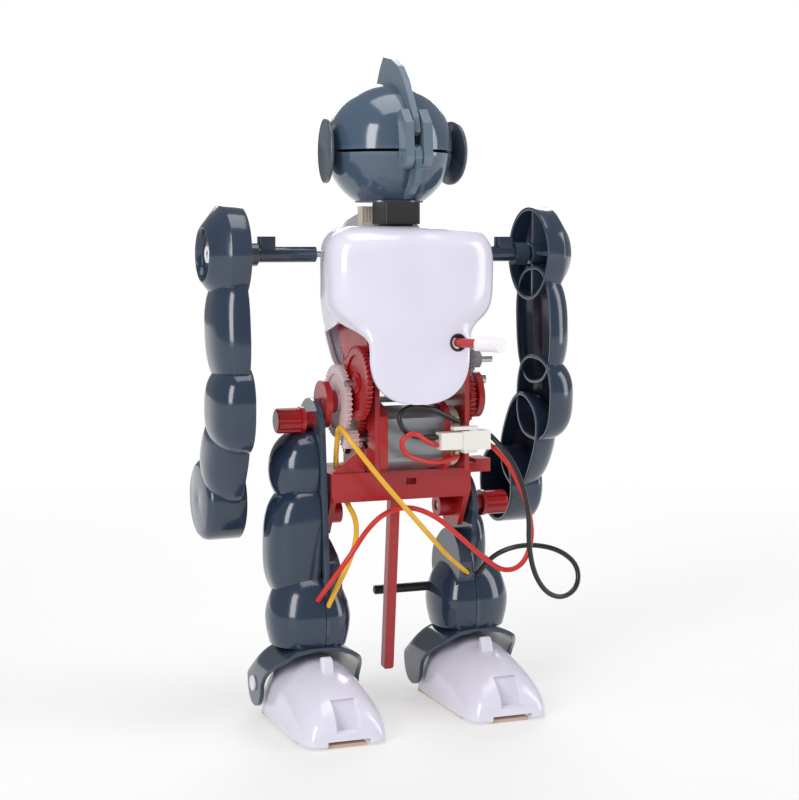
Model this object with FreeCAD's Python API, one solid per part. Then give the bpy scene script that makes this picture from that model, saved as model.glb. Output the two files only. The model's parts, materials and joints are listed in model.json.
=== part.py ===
import FreeCAD, Part
import math
import os

# Two-legged walking robot kit. Millimetres, +Z up, the robot faces -Y and its right side is -X.
# The pieces are drawn with the shoulder axle over Y = 0, and moved by ORIGIN_Y when they are written,
# so that the origin is the middle of the footprint, on the floor.
ORIGIN_Y = 8.16

# Heights and depths of the main axes
SHOULDER_Z = 144.0
CRANK_Y, CRANK_Z = -3.0, 98.5
PIVOT_Y, PIVOT_Z = 0.0, 63.5          # the hip pivots in the frame's side flanges
HEAD_Z, HEAD_R = 177.0, 20.0           # centre and radius of the round head
ANKLE_Z = 10.5
STRIDE = 3.5                          # each foot stands this far ahead of or behind the middle

# Widths
ARM_IN, ARM_OUT = 48.5, 60.0
FLANGE_IN, FLANGE_OUT = 21.4, 23.2
LEG_IN, LEG_OUT = 24.6, 40.6
FOOT_X = 28.0
AXLE_R = 1.0
FIT = 0.05                            # radial clearance of a running fit
GAP = 0.35                            # clearance between pieces that move past each other

# Gears: one module throughout
MODULE = 0.5
WHEEL_TEETH, PINION_TEETH = 44, 10
IDLER_TEETH, ARM_TEETH, CAM_TEETH, TIMING_TEETH = 60, 22, 32, 18
GEAR_W = 1.8
ROW_1, ROW_2, ROW_3 = -13.8, -16.3, -18.8   # the three gear planes on the right side, outboard face

# Motor: a 20 mm can with two flats
MOTOR_Y, MOTOR_R, MOTOR_FLAT = -10.5, 10.0, 7.5
MOTOR_X0, MOTOR_X1, BELL_X1 = -9.0, 13.5, 17.0

CELL_R, CELL_LEN = 6.0, 30.2          # N-size cell, one in each leg
WIRE_D = 1.6
STICK_BOTTOM = 11.0

V = FreeCAD.Vector
parts = {}


# ---- helpers -------------------------------------------------------------------------------------
def box(x0, x1, y0, y1, z0, z1):
    return Part.makeBox(x1 - x0, y1 - y0, z1 - z0, V(x0, y0, z0))


def rod_x(x0, x1, y, z, r):
    return Part.makeCylinder(r, x1 - x0, V(x0, y, z), V(1, 0, 0))


def rod_y(x, y0, y1, z, r):
    return Part.makeCylinder(r, y1 - y0, V(x, y0, z), V(0, 1, 0))


def rod_z(x, y, z0, z1, r):
    return Part.makeCylinder(r, z1 - z0, V(x, y, z0), V(0, 0, 1))


def ball(x, y, z, r):
    return Part.makeSphere(r, V(x, y, z))


def prism(points, along):
    wire = Part.makePolygon(points + [points[0]])
    return Part.Face(wire).extrude(along)


def plate_x(x0, x1, outline):
    return prism([V(x0, y, z) for y, z in outline], V(x1 - x0, 0, 0))


def plate_y(y0, y1, outline):
    return prism([V(x, y0, z) for x, z in outline], V(0, y1 - y0, 0))


def joined(first, *others):
    return first.fuse(list(others)).removeSplitter()


def mirrored(shape):
    return shape.mirror(V(0, 0, 0), V(1, 0, 0))


def rounded(shape, radius, chosen):
    """The shape with the chosen edges rounded. chosen(edge's bounding box) says which."""
    edges = [e for e in shape.Edges if chosen(e.BoundBox)]
    return shape.makeFillet(radius, edges)


def pill_x(x0, x1, a, ra, b, rb):
    """A prism along X whose outline is two circles of centres a and b (y, z) and their two tangents."""
    ay, az = a
    by, bz = b
    long = math.hypot(by - ay, bz - az)
    lean = math.atan2(bz - az, by - ay)
    spread = math.acos((ra - rb) / long)

    def point(c, r, angle):
        return V(x0, c[0] + r * math.cos(angle), c[1] + r * math.sin(angle))

    a1, a2, a3 = (point(a, ra, lean + t) for t in (spread, math.pi, -spread))
    b1, b2, b3 = (point(b, rb, lean + t) for t in (-spread, 0.0, spread))
    edges = [Part.Arc(a1, a2, a3).toShape(), Part.LineSegment(a3, b1).toShape()]
    edges += [Part.Arc(b1, b2, b3).toShape(), Part.LineSegment(b3, a1).toShape()]
    return Part.Face(Part.Wire(edges)).extrude(V(x1 - x0, 0, 0))


def pillow_x(x0, x1, a, ra, b, rb, soft):
    """A pill whose face at the larger |x| has a rounded rim."""
    far = x1 if abs(x1) > abs(x0) else x0
    pill = pill_x(x0, x1, a, ra, b, rb)
    return rounded(pill, soft, lambda e: abs(e.XMin - far) < 1e-6 and abs(e.XMax - far) < 1e-6)


def tooth_angle(own_teeth, other_teeth, other_angle, direction):
    """The angle of a tooth that meshes with another gear, seen from it in this direction."""
    offset = 0.5 - (other_angle - direction) * other_teeth / (2 * math.pi)
    return direction + math.pi + offset * 2 * math.pi / own_teeth


def gear(x0, x1, y, z, teeth, angle, bore=AXLE_R + FIT):
    """A spur gear about X with slim straight-sided teeth, and a tooth at this angle."""
    pitch_r = teeth * MODULE / 2
    root_r, tip_r = pitch_r - 0.62, pitch_r + 0.38
    step = 2 * math.pi / teeth
    outline = []
    for n in range(teeth):
        middle = angle + n * step
        for r, part in ((root_r, -0.27), (tip_r, -0.12), (tip_r, 0.12), (root_r, 0.27)):
            outline.append((y + r * math.cos(middle + part * step), z + r * math.sin(middle + part * step)))
    blank = plate_x(x0, x1, outline)
    return blank.cut(rod_x(x0 - 1, x1 + 1, y, z, bore)) if bore else blank


# ---- gear train ----------------------------------------------------------------------------------
step_down = (WHEEL_TEETH + PINION_TEETH) * MODULE / 2
motor_z = CRANK_Z - math.sqrt(step_down ** 2 - (MOTOR_Y - CRANK_Y) ** 2)
lay_z = 105.0
lay_y = CRANK_Y - math.sqrt(step_down ** 2 - (lay_z - CRANK_Z) ** 2)

# The idler sits where it meets both the crank wheel and the arm wheel
reach_low = (WHEEL_TEETH + IDLER_TEETH) * MODULE / 2
reach_high = (IDLER_TEETH + ARM_TEETH) * MODULE / 2
span = math.hypot(CRANK_Y, SHOULDER_Z - CRANK_Z)
along = (reach_low ** 2 - reach_high ** 2 + span ** 2) / (2 * span)
aside = math.sqrt(reach_low ** 2 - along ** 2)
up_y, up_z = -CRANK_Y / span, (SHOULDER_Z - CRANK_Z) / span
idler_y = CRANK_Y + along * up_y - aside * up_z
idler_z = CRANK_Z + along * up_z + aside * up_y

timing_reach = (CAM_TEETH + TIMING_TEETH) * MODULE / 2
timing_y = -6.0
timing_z = CRANK_Z + math.sqrt(timing_reach ** 2 - (timing_y - CRANK_Y) ** 2)


def bearing(from_yz, to_yz):
    return math.atan2(to_yz[1] - from_yz[1], to_yz[0] - from_yz[0])


crank, lay, motor = (CRANK_Y, CRANK_Z), (lay_y, lay_z), (MOTOR_Y, motor_z)
idler, shoulder, timing = (idler_y, idler_z), (0.0, SHOULDER_Z), (timing_y, timing_z)
idler_tooth = tooth_angle(IDLER_TEETH, WHEEL_TEETH, 0.0, bearing(crank, idler))
arm_tooth = tooth_angle(ARM_TEETH, IDLER_TEETH, idler_tooth, bearing(idler, shoulder))
lay_pinion_tooth = tooth_angle(PINION_TEETH, WHEEL_TEETH, 0.0, bearing(crank, lay))
lay_wheel_tooth = tooth_angle(WHEEL_TEETH, PINION_TEETH, 0.0, bearing(crank, lay))
motor_tooth = tooth_angle(PINION_TEETH, WHEEL_TEETH, 0.0, bearing(crank, motor))
timing_tooth = tooth_angle(TIMING_TEETH, CAM_TEETH, 0.0, bearing(crank, timing))


def spoked(wheel, x0, x1, y, z, r):
    """Take a shallow ring recess out of a wheel's outboard face."""
    ring = rod_x(x0 - 0.01, x0 + 0.5, y, z, r).cut(rod_x(x0 - 1, x1 + 1, y, z, 3.2))
    return wheel.cut(ring)


crank_wheel = gear(ROW_1, ROW_1 + GEAR_W, *crank, WHEEL_TEETH, 0.0, AXLE_R)
wheel_a = gear(ROW_3, ROW_3 + GEAR_W, *crank, WHEEL_TEETH, 0.0)
pinion_a = gear(ROW_3 + GEAR_W, ROW_2 + GEAR_W, *crank, PINION_TEETH, 0.0)
parts["first_reduction_gear"] = spoked(joined(wheel_a, pinion_a), ROW_3, ROW_2, *crank, 8.6)
wheel_b = gear(ROW_2, ROW_2 + GEAR_W - 0.15, *lay, WHEEL_TEETH, lay_wheel_tooth)
pinion_b = gear(ROW_2 + GEAR_W - 0.15, ROW_1 + GEAR_W, *lay, PINION_TEETH, lay_pinion_tooth)
nose_b = rod_x(ROW_2 - 0.5, ROW_2, *lay, 1.9).cut(rod_x(ROW_2 - 3, ROW_2 + 1, *lay, AXLE_R + FIT))
parts["second_reduction_gear"] = spoked(joined(wheel_b, pinion_b, nose_b), ROW_2, ROW_1, *lay, 8.6)
parts["arm_idler_gear"] = gear(ROW_1, ROW_1 + GEAR_W, *idler, IDLER_TEETH, idler_tooth)
parts["arm_wheel"] = gear(ROW_1, ROW_1 + GEAR_W, *shoulder, ARM_TEETH, arm_tooth, AXLE_R)
parts["motor_pinion"] = gear(ROW_3 - 0.2, ROW_1 - 0.5, *motor, PINION_TEETH, motor_tooth, AXLE_R)
parts["motor_shaft"] = rod_x(ROW_3 - 0.5, MOTOR_X0 + 1.5, *motor, AXLE_R)
CAM_X0, CAM_X1 = 24.0, 25.6
cam_wheel = gear(CAM_X0, CAM_X1, *crank, CAM_TEETH, 0.0, AXLE_R)
parts["crank_wheels"] = Part.makeCompound([crank_wheel, cam_wheel])
timing_gear = gear(CAM_X0, CAM_X1, *timing, TIMING_TEETH, timing_tooth)
timing_boss = Part.Face(Part.makePolygon([
    V(CAM_X1, timing_y + 2.8 * math.cos(math.radians(45 * n + 22.5)),
      timing_z + 2.8 * math.sin(math.radians(45 * n + 22.5))) for n in range(9)])).extrude(V(3.0, 0, 0))
timing_boss = timing_boss.cut(rod_x(CAM_X0, CAM_X1 + 4, *timing, AXLE_R + FIT))
parts["timing_pinion"] = joined(timing_gear, timing_boss)

# Crank discs, half a turn apart, with their pins
CRANK_THROW = 5.5


def crank_disc(x0, x1, hub_x0, hub_x1, down):
    disc = pill_x(x0, x1, (CRANK_Y, CRANK_Z - 0.01), 6.6, (CRANK_Y, CRANK_Z + down * 2.6), 5.6)
    hub = rod_x(hub_x0, hub_x1, *crank, 3.6)
    pin = rod_x(min(x0, x1), max(x0, x1), CRANK_Y, CRANK_Z + down * CRANK_THROW, 1.5)
    return joined(disc, hub).cut(rod_x(-40, 40, *crank, AXLE_R)).cut(pin)


parts["crank_discs"] = Part.makeCompound([crank_disc(-23.6, -21.6, -21.6, ROW_3 - GAP, -1),
                                          crank_disc(27.4, 29.4, CAM_X1, 27.4, 1)])
parts["crank_shaft"] = Part.makeCompound([
    rod_x(-23.4, 29.6, *crank, AXLE_R), rod_x(-24.1, -21.6, CRANK_Y, CRANK_Z - CRANK_THROW, 1.5),
    rod_x(27.4, 32.0, CRANK_Y, CRANK_Z + CRANK_THROW, 1.5)])


# ---- gearbox and motor ---------------------------------------------------------------------------
PLATE_R, PLATE_L, PLATE_T = -11.5, 18.2, 1.5
PLATE_OUTLINE = [(-19.0, 77.3), (-19.0, 109.0), (-14.0, 128.0), (-8.0, 148.5), (8.0, 148.5), (10.0, 122.0),
                 (10.0, 77.3)]
SPACERS = [(6.5, 82.5), (6.5, 116.0), (3.5, 130.0)]


def gearbox_plate(x0):
    plate = plate_x(x0, x0 + PLATE_T, PLATE_OUTLINE)
    for y, z in (crank, shoulder):
        plate = plate.cut(rod_x(x0 - 1, x0 + 3, y, z, AXLE_R + FIT))
    plate = plate.cut(rod_x(x0 - 1, x0 + 3, *motor, 3.2))
    for y, z in (lay, idler):
        plate = plate.cut(rod_x(x0 - 1, x0 + 3, y, z, AXLE_R))
    for y, z in SPACERS:
        plate = plate.cut(rod_x(x0 - 1, x0 + 3, y, z, 1.0))
    return plate


parts["gearbox_plate_right"] = gearbox_plate(PLATE_R)
timing_hole = rod_x(PLATE_L - 1, PLATE_L + 3, *timing, AXLE_R)
bell_hole = rod_x(PLATE_L - 1, PLATE_L + 3, *motor, 4.2)
parts["gearbox_plate_left"] = gearbox_plate(PLATE_L).cut(timing_hole).cut(bell_hole)
spacers = [rod_x(PLATE_R + PLATE_T, PLATE_L, y, z, 2.2).cut(rod_x(PLATE_R, PLATE_L + 2, y, z, 1.0))
           for y, z in SPACERS]


def screw_x(x_seat, side, y, z, length=4.0):
    """A cross-head screw along X, its head outboard of x_seat on this side."""
    low, high = sorted((x_seat, x_seat + side * 1.2))
    inner = sorted((x_seat, x_seat - side * length))
    slot_x = sorted((x_seat + side * 0.7, x_seat + side * 2.0))
    head = rod_x(low, high, y, z, 1.9)
    head = head.cut(box(*slot_x, y - 1.3, y + 1.3, z - 0.25, z + 0.25))
    head = head.cut(box(*slot_x, y - 0.25, y + 0.25, z - 1.3, z + 1.3))
    return head.fuse(rod_x(*inner, y, z, 0.98))


gearbox_screws = [screw_x(PLATE_R, -1, y, z) for y, z in SPACERS[:1]]
gearbox_screws += [screw_x(PLATE_L + PLATE_T, 1, y, z) for y, z in SPACERS]
parts["gearbox_pins"] = Part.makeCompound(spacers + [
    rod_x(ROW_3 - 0.8, PLATE_R + PLATE_T, *lay, AXLE_R),
    rod_x(ROW_1 - 0.8, PLATE_R + PLATE_T, *idler, AXLE_R),
    rod_x(PLATE_L, CAM_X1 + 7.4, *timing, AXLE_R)])


def motor_section(x0, x1, r, flat):
    drum = rod_x(x0, x1, *motor, r)
    return drum.common(box(x0, x1, MOTOR_Y - flat, MOTOR_Y + flat, motor_z - r, motor_z + r))


can = motor_section(MOTOR_X0, MOTOR_X1, MOTOR_R, MOTOR_FLAT)
can = rounded(can, 0.8, lambda e: e.XMax - MOTOR_X0 < 1e-3)
can = can.fuse(rod_x(MOTOR_X0 - 1.6, MOTOR_X0 + 0.5, *motor, 3.0)).removeSplitter()
window = box(MOTOR_X0 + 4.0, MOTOR_X1 - 2.0, MOTOR_Y - MOTOR_FLAT - 1, MOTOR_Y - MOTOR_FLAT + 0.35,
             motor_z - 5.2, motor_z + 5.2)
parts["motor_can"] = can.cut(window).cut(rod_x(MOTOR_X0 - 3, MOTOR_X0 + 2, *motor, AXLE_R + FIT))
bell = motor_section(MOTOR_X1, BELL_X1, MOTOR_R - 0.6, MOTOR_FLAT - 0.5)
parts["motor_end_bell"] = bell.fuse(rod_x(BELL_X1, BELL_X1 + 1.0, *motor, 2.6)).removeSplitter()
TERMINAL_Y = MOTOR_Y - MOTOR_FLAT + 0.5
parts["motor_terminals"] = Part.makeCompound([
    box(MOTOR_X1 + 1.2, MOTOR_X1 + 2.2, TERMINAL_Y - 2.2, TERMINAL_Y, z - 1.2, z + 1.2)
    for z in (motor_z + 5.5, motor_z - 5.5)])


def motor_ring(x0, x1):
    ring = motor_section(x0, x1, MOTOR_R + 1.6, MOTOR_FLAT + 1.3)
    ring = ring.cut(motor_section(x0 - 1, x1 + 1, MOTOR_R + 0.02, MOTOR_FLAT + 0.02))
    return ring.cut(box(x0 - 1, x1 + 1, -40, 40, 0, 77.0))


motor_rings = [motor_ring(MOTOR_X0 - 1.0, MOTOR_X0 + 1.6), motor_ring(MOTOR_X1 - 1.8, MOTOR_X1 - 0.1)]

# ---- hip frame -----------------------------------------------------------------------------------
FRAME_TOP, FRAME_DEPTH, FRAME_T = 77.0, 12.5, 1.8
frame = box(-22.8, 22.8, -FRAME_DEPTH, 14.0, FRAME_TOP - FRAME_T, FRAME_TOP)
frame = frame.fuse(box(-22.8, 22.8, -FRAME_DEPTH, -FRAME_DEPTH + FRAME_T, 68.0, FRAME_TOP))
frame = frame.fuse(box(-22.8, 22.8, 14.0 - FRAME_T, 14.0, 68.0, FRAME_TOP))
flange_outline = [(-FRAME_DEPTH, FRAME_TOP), (-FRAME_DEPTH, 70.0), (-5.5, 57.6), (5.5, 57.6),
                  (14.0, 70.0), (14.0, FRAME_TOP)]
for side in (-1, 1):
    flange_x = sorted((side * FLANGE_IN, side * FLANGE_OUT))
    boss_x = sorted((side * 16.5, side * (FLANGE_IN + 0.5)))
    frame = frame.fuse(plate_x(*flange_x, flange_outline))
    frame = frame.fuse(rod_x(*boss_x, PIVOT_Y, PIVOT_Z, 3.6))
frame = frame.fuse(plate_y(-11.3, -9.7, [(-22.8, FRAME_TOP), (-12.0, 85.0), (-12.0, FRAME_TOP)]))
frame = frame.fuse(box(22.0, 30.6, -11.0, -3.0, 75.2, 78.2))
frame = frame.fuse(box(25.6, 30.6, -11.0, -3.0, 78.0, 79.4))
frame = frame.fuse(box(19.9, 22.6, -11.0, -7.5, 76.5, 81.0))
frame = frame.fuse(box(-3.2, 3.2, -8.5, -1.5, 69.0, 76.0))
frame = frame.cut(box(1.3, 4.6, -14.0, -10.0, 72.6, 74.6))
frame = frame.cut(rod_x(-30, 30, PIVOT_Y, PIVOT_Z, 1.6))
frame = frame.cut(box(-1.65, 1.65, -6.8, -3.2, 60.0, 74.6))
parts["hip_frame"] = Part.makeCompound([frame.removeSplitter()] + motor_rings)
pivot_pin = rod_x(17.0, 32.0, PIVOT_Y, PIVOT_Z, 1.6)
parts["hip_pivot_pins"] = Part.makeCompound([pivot_pin, mirrored(rod_x(17.0, 26.1, PIVOT_Y, PIVOT_Z, 1.6))])
stick = box(-1.6, 1.6, -1.6, 1.6, STICK_BOTTOM - 74.5, 0.0)
stick = rounded(stick, 1.2, lambda e: e.ZMax < STICK_BOTTOM - 74.4)
stick_top = box(-1.6, 1.6, -1.6, 1.6, -6.0, 0.0)
stick.rotate(V(0, 0, -6.0), V(1, 0, 0), 6.0)
stick_top = stick_top.fuse(stick.common(box(-5, 5, -9, 20, -90, -5.0))).removeSplitter()
stick_top.translate(V(0, -5.0, 74.5))
parts["tail_stick"] = stick_top

# ---- torso shells --------------------------------------------------------------------------------
WALL = 1.5
CHEST_FRONT, APRON_BACK, CHEST_SPLIT, CHEST_BACK = -29.0, -26.6, -14.0, 17.5


def both_sides(half):
    return half + [(-x, z) for x, z in reversed(half) if x > 0]


def hollow_y(outline, y_front, y_open, soft):
    """A shell with this outline in X and Z, closed and soft-edged at y_front and open at y_open."""
    outer = plate_y(min(y_front, y_open), max(y_front, y_open), outline)
    outer = rounded(outer, soft, lambda e: e.YMax - e.YMin < 1e-6 and abs(e.YMin - y_front) < 1e-6)
    face = Part.Face(Part.makePolygon([V(x, y_open, z) for x, z in outline + outline[:1]]))
    inner = face.makeOffset2D(-WALL)
    depth = y_front - y_open
    inner = inner.extrude(V(0, depth - math.copysign(WALL, depth), 0))
    inner = rounded(inner, soft - WALL + 0.4, lambda e: e.YMax - e.YMin < 1e-6
                    and abs(e.YMin - y_front) < abs(depth) / 2)
    return outer.cut(inner)


chest_half = [(0.0, 152.5), (20.0, 152.5), (28.3, 147.5), (28.3, 128.0), (24.0, 122.4), (16.3, 120.5),
              (15.9, 110.0), (13.2, 103.6), (7.6, 99.8), (0.0, 99.0)]
chest = hollow_y(both_sides(chest_half), CHEST_FRONT, CHEST_SPLIT, 4.0)
TRIGGER_X, TRIGGER_Z, TRIGGER_TURN = 11.6, 117.5, 20.0
trigger_dir = V(math.sin(math.radians(TRIGGER_TURN)), -math.cos(math.radians(TRIGGER_TURN)), 0)
trigger_at = V(TRIGGER_X, CHEST_FRONT, TRIGGER_Z)


def trigger_cylinder(start, end, r):
    return Part.makeCylinder(r, end - start, trigger_at + trigger_dir * start, trigger_dir)


chest = chest.cut(trigger_cylinder(-8.0, 8.0, 2.6))
chest = chest.cut(box(-40, 40, APRON_BACK, 0, 0, 120.2)).cut(box(-22, 22, APRON_BACK, 0, 115, 124))
parts["chest_front_shell"] = chest
parts["trigger_rod"] = trigger_cylinder(-9.5, 9.0, 1.4)
parts["trigger_cap"] = trigger_cylinder(9.0, 18.5, 2.2)

back_half = [(0.0, 152.5), (18.0, 152.5), (23.2, 148.5), (23.2, 122.0), (0.0, 122.0)]
back = hollow_y(both_sides(back_half), CHEST_BACK, CHEST_SPLIT, 4.0)
back = back.cut(box(-21.7, 21.7, -15.0, 16.0, 115, 126))
back = back.cut(box(-6.2, 6.2, -15.0, 2.0, 140, 160)).cut(box(-9.0, 0.2, 0.3, 4.9, 148, 160))
back = back.fuse(plate_y(15.2, 16.8, [(-16, 123), (16, 123), (15.6, 110), (9, 103), (-9, 103), (-15.6, 110)]))
back = back.fuse(plate_y(6.5, 8.0, [(-17.0, 149.8), (-11.5, 156.8), (11.5, 156.8), (17.0, 149.8)]))
back = back.cut(rod_x(-40, 40, *shoulder, AXLE_R + FIT))
BACK_SCREWS = [(side * 18.0, z) for side in (-1, 1) for z in (143.0, 128.5)]
back_screws = [rod_y(x, 16.9, 18.0, z, 1.9).fuse(rod_y(x, 12.0, 17.4, z, 0.98)) for x, z in BACK_SCREWS]
for x, z in BACK_SCREWS:
    back = back.cut(rod_y(x, 10.0, 19.3, z, 1.95))
parts["chest_back_shell"] = back.removeSplitter()
parts["body_screws"] = Part.makeCompound(gearbox_screws + back_screws)

# ---- neck and head -------------------------------------------------------------------------------
SEAM_Z, SEAM_GAP, CHIN_Z = 175.3, 0.9, 160.0
HEAD_Y = -1.0
neck = box(-5.8, 5.8, -13.0, -1.0, 153.2, CHIN_Z)
neck = rounded(neck, 0.8, lambda e: e.ZMax - e.ZMin > 5)
parts["neck_block"] = neck.fuse(box(-4.0, 4.0, -11.0, -2.5, 149.2, 153.4)).removeSplitter()
SLIDER_X = -8.4
slider = box(SLIDER_X, SLIDER_X + 4.2, 0.6, 4.6, 149.6, 158.8)
for n in range(4):
    ridge_x = SLIDER_X + 0.5 + n * 1.0
    slider = slider.cut(box(ridge_x, ridge_x + 0.45, 0.0, 1.1, 154.0, 159.0))
parts["power_slider"] = slider

skull = ball(0, HEAD_Y, HEAD_Z, HEAD_R - 0.3).cut(ball(0, HEAD_Y, HEAD_Z, HEAD_R - 2.1))
chin = box(-30, 30, -30, 30, 100, CHIN_Z)
floor_disc = rod_z(0, HEAD_Y, CHIN_Z, CHIN_Z + 1.6, 10.6)
EAR_ROD_R = 0.9
ear_slot = rod_x(-30, 30, HEAD_Y, SEAM_Z, EAR_ROD_R + FIT)
lower = skull.cut(box(-30, 30, -30, 30, SEAM_Z - SEAM_GAP / 2, 220)).cut(chin).fuse(floor_disc)
parts["head_lower_shell"] = lower.cut(ear_slot).removeSplitter()
upper = skull.cut(box(-30, 30, -30, 30, 100, SEAM_Z + SEAM_GAP / 2)).cut(ear_slot)
crest_slot = box(-1.15, 1.15, -24, 10, 178, 200)
parts["head_upper_shell"] = upper.cut(crest_slot)
parts["ear_rod"] = rod_x(-20.6, 20.6, HEAD_Y, SEAM_Z, EAR_ROD_R)

ear = rod_x(19.3, 22.2, HEAD_Y, SEAM_Z, 10.0)
ear = rounded(ear, 0.7, lambda e: e.XMin > 22.1)
ear = ear.cut(rod_x(21.6, 23.0, HEAD_Y, SEAM_Z, 8.3))
ear = ear.cut(rod_x(15.0, 20.6, HEAD_Y, SEAM_Z, EAR_ROD_R))
ear = ear.cut(ball(0, HEAD_Y, HEAD_Z, HEAD_R - 0.3))
parts["ear_discs"] = Part.makeCompound([ear, mirrored(ear)])

fin = [(7.6, 195.6), (7.4, 197.4), (5.0, 201.4), (1.8, 205.0), (-4.5, 203.8), (-10.6, 201.2), (-15.2, 196.8),
       (-19.6, 190.6), (-23.2, 185.0), (-24.6, 180.4), (-22.6, 179.4), (-19.2, 180.4), (-17.0, 184.8),
       (-13.6, 189.0), (-9.0, 192.6), (-4.0, 194.4), (0.0, 195.0), (4.0, 194.8)]
fin = [(y + HEAD_Y + 0.6, z) for y, z in fin]
crest = plate_x(-1.0, 1.0, fin)
rib_groove = plate_x(-0.35, 0.35, [(y - 1.2, z + 1.4) for y, z in fin[5:10]] + [(-26, 192), (-20, 203)])
parts["head_crest"] = crest.cut(rib_groove)

KNUCKLE_Y, KNUCKLE_Z = -22.6, 173.4
lug = [(-19.2, 179.0), (-19.0, 186.4), (-21.6, 187.4), (-25.6, 183.2), (-26.4, 174.0), (-24.0, 171.0),
       (-21.0, 171.0), (-20.9, 176.6)]
hinge_lugs = []
for low, high in ((-4.2, -1.5), (1.5, 4.4)):
    plate = plate_x(low, high, lug).fuse(rod_x(low, high, KNUCKLE_Y, KNUCKLE_Z, 3.9))
    plate = plate.cut(ball(0, HEAD_Y, HEAD_Z, HEAD_R - 0.3))
    hinge_lugs.append(plate.cut(rod_x(-6, 6, KNUCKLE_Y, KNUCKLE_Z, 1.0)).removeSplitter())
visor = rod_x(-1.2, 1.2, KNUCKLE_Y, KNUCKLE_Z, 3.5)
visor = visor.fuse(plate_x(-1.0, 1.0, [(-25.8, 173.0), (-26.6, 169.6), (-24.6, 165.4), (-20.4, 162.2),
                                       (-16.2, 160.8), (-16.6, 162.8), (-19.6, 166.0), (-21.2, 169.4)]))
visor = visor.cut(ball(0, HEAD_Y, HEAD_Z, HEAD_R - 0.3))
parts["visor_rib"] = visor.cut(rod_x(-6, 6, KNUCKLE_Y, KNUCKLE_Z, 1.0)).removeSplitter()
parts["visor_hinge"] = Part.makeCompound(hinge_lugs + [rod_x(-4.6, 4.8, KNUCKLE_Y, KNUCKLE_Z, 1.0)])

# ---- shoulder axle and arms ----------------------------------------------------------------------
parts["shoulder_axle"] = rod_x(-57.5, 57.5, *shoulder, AXLE_R)
sleeve = rod_x(24.2, 47.0, *shoulder, 2.5).cut(rod_x(20, 50, *shoulder, AXLE_R))
clamp = box(37.5, 42.0, -2.2, 2.2, SHOULDER_Z + 1.5, SHOULDER_Z + 5.4)
clamp = clamp.cut(rod_x(20, 50, *shoulder, AXLE_R)).cut(box(37.0, 43.0, -0.5, 0.5, SHOULDER_Z + 2.6, 152))
sleeve = sleeve.fuse(clamp).fuse(rod_x(43.0, 47.5, *shoulder, 3.6).cut(rod_x(20, 50, *shoulder, AXLE_R)))
sleeve = sleeve.removeSplitter()
parts["axle_sleeves"] = Part.makeCompound([sleeve, mirrored(sleeve)])

# Each arm is a chain of hollow drums, open towards the body: (from y, z), r, (to y, z), r, inboard x
ELBOW = (-5.0, SHOULDER_Z - 45.0)
HAND = (17.0, SHOULDER_Z - 77.0)
ARM_CHAIN = [
    ((0.0, SHOULDER_Z), 15.0, (-0.2, SHOULDER_Z - 1.0), 15.0, ARM_IN, ARM_OUT),
    ((-0.6, SHOULDER_Z - 14.5), 13.2, (-4.4, SHOULDER_Z - 34.0), 13.0, ARM_IN + 0.8, ARM_OUT + 0.3),
    (ELBOW, 12.9, (ELBOW[0] + 0.6, ELBOW[1] - 3.0), 12.9, ARM_IN, ARM_OUT),
    ((ELBOW[0] + 3.0, ELBOW[1] - 6.0), 11.6,
    (HAND[0] - 9.0, HAND[1] + 13.0), 10.8, ARM_IN - 0.6, ARM_OUT - 1.2),
    (HAND, 12.9, (HAND[0] - 0.6, HAND[1] + 0.8), 12.9, ARM_IN - 3.4, ARM_OUT - 2.8)]
ARM_WALL = 1.3
outer, inner = [], []
for a, ra, b, rb, x_in, x_out in ARM_CHAIN:
    outer.append(pillow_x(x_in, x_out, a, ra, b, rb, 3.4))
    inner.append(pillow_x(x_in - 1.0, x_out - ARM_WALL, a, ra - ARM_WALL, b, rb - ARM_WALL, 2.2))
arm = outer[0].fuse(outer[1:])
for hollow in inner:
    arm = arm.cut(hollow)
# The shoulder's hub and the ribs that stiffen the shell
hub = rod_x(48.8, ARM_OUT - 1.0, *shoulder, 3.4)
arm_ribs = [plate_x(50.0, ARM_OUT - 1.0, [(-0.6, SHOULDER_Z - 13.5), (-0.6, SHOULDER_Z + 13.5),
                                          (0.6, SHOULDER_Z + 13.5), (0.6, SHOULDER_Z - 13.5)]),
            plate_x(50.0, ARM_OUT - 1.0, [(-13.5, SHOULDER_Z - 0.6), (-13.5, SHOULDER_Z + 0.6),
                                          (13.5, SHOULDER_Z + 0.6), (13.5, SHOULDER_Z - 0.6)])]
for y, z, r in ((*ELBOW, 12.0), (*HAND, 12.0)):
    arm_ribs.append(plate_x(52.0, ARM_OUT - 3.6, [(y - r, z - 0.5), (y - r, z + 0.5), (y + r, z + 0.5),
                                                  (y + r, z - 0.5)]))
    hub = hub.fuse(rod_x(52.0, ARM_OUT - 3.6, y, z, 2.2))
arm = arm.fuse([hub] + arm_ribs)
arm = arm.cut(rod_x(45.0, 57.5, *shoulder, AXLE_R))
arm = arm.cut(rod_x(ARM_OUT - 0.9, ARM_OUT + 2, *shoulder, 7.9))
arm = arm.cut(box(ARM_OUT - 4.2, ARM_OUT + 1, HAND[0] + 6.4, HAND[0] + 7.6, HAND[1] - 4.0, HAND[1] + 4.0))
cap = rod_x(ARM_OUT - 0.9, ARM_OUT - 0.1, *shoulder, 7.8)
cap = cap.cut(rod_x(ARM_OUT - 0.5, ARM_OUT + 1, *shoulder, 2.9).cut(rod_x(0, 90, *shoulder, 2.2)))
parts["arm_left"] = Part.makeCompound([arm.removeSplitter(), cap])
parts["arm_right"] = mirrored(parts["arm_left"])

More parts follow.
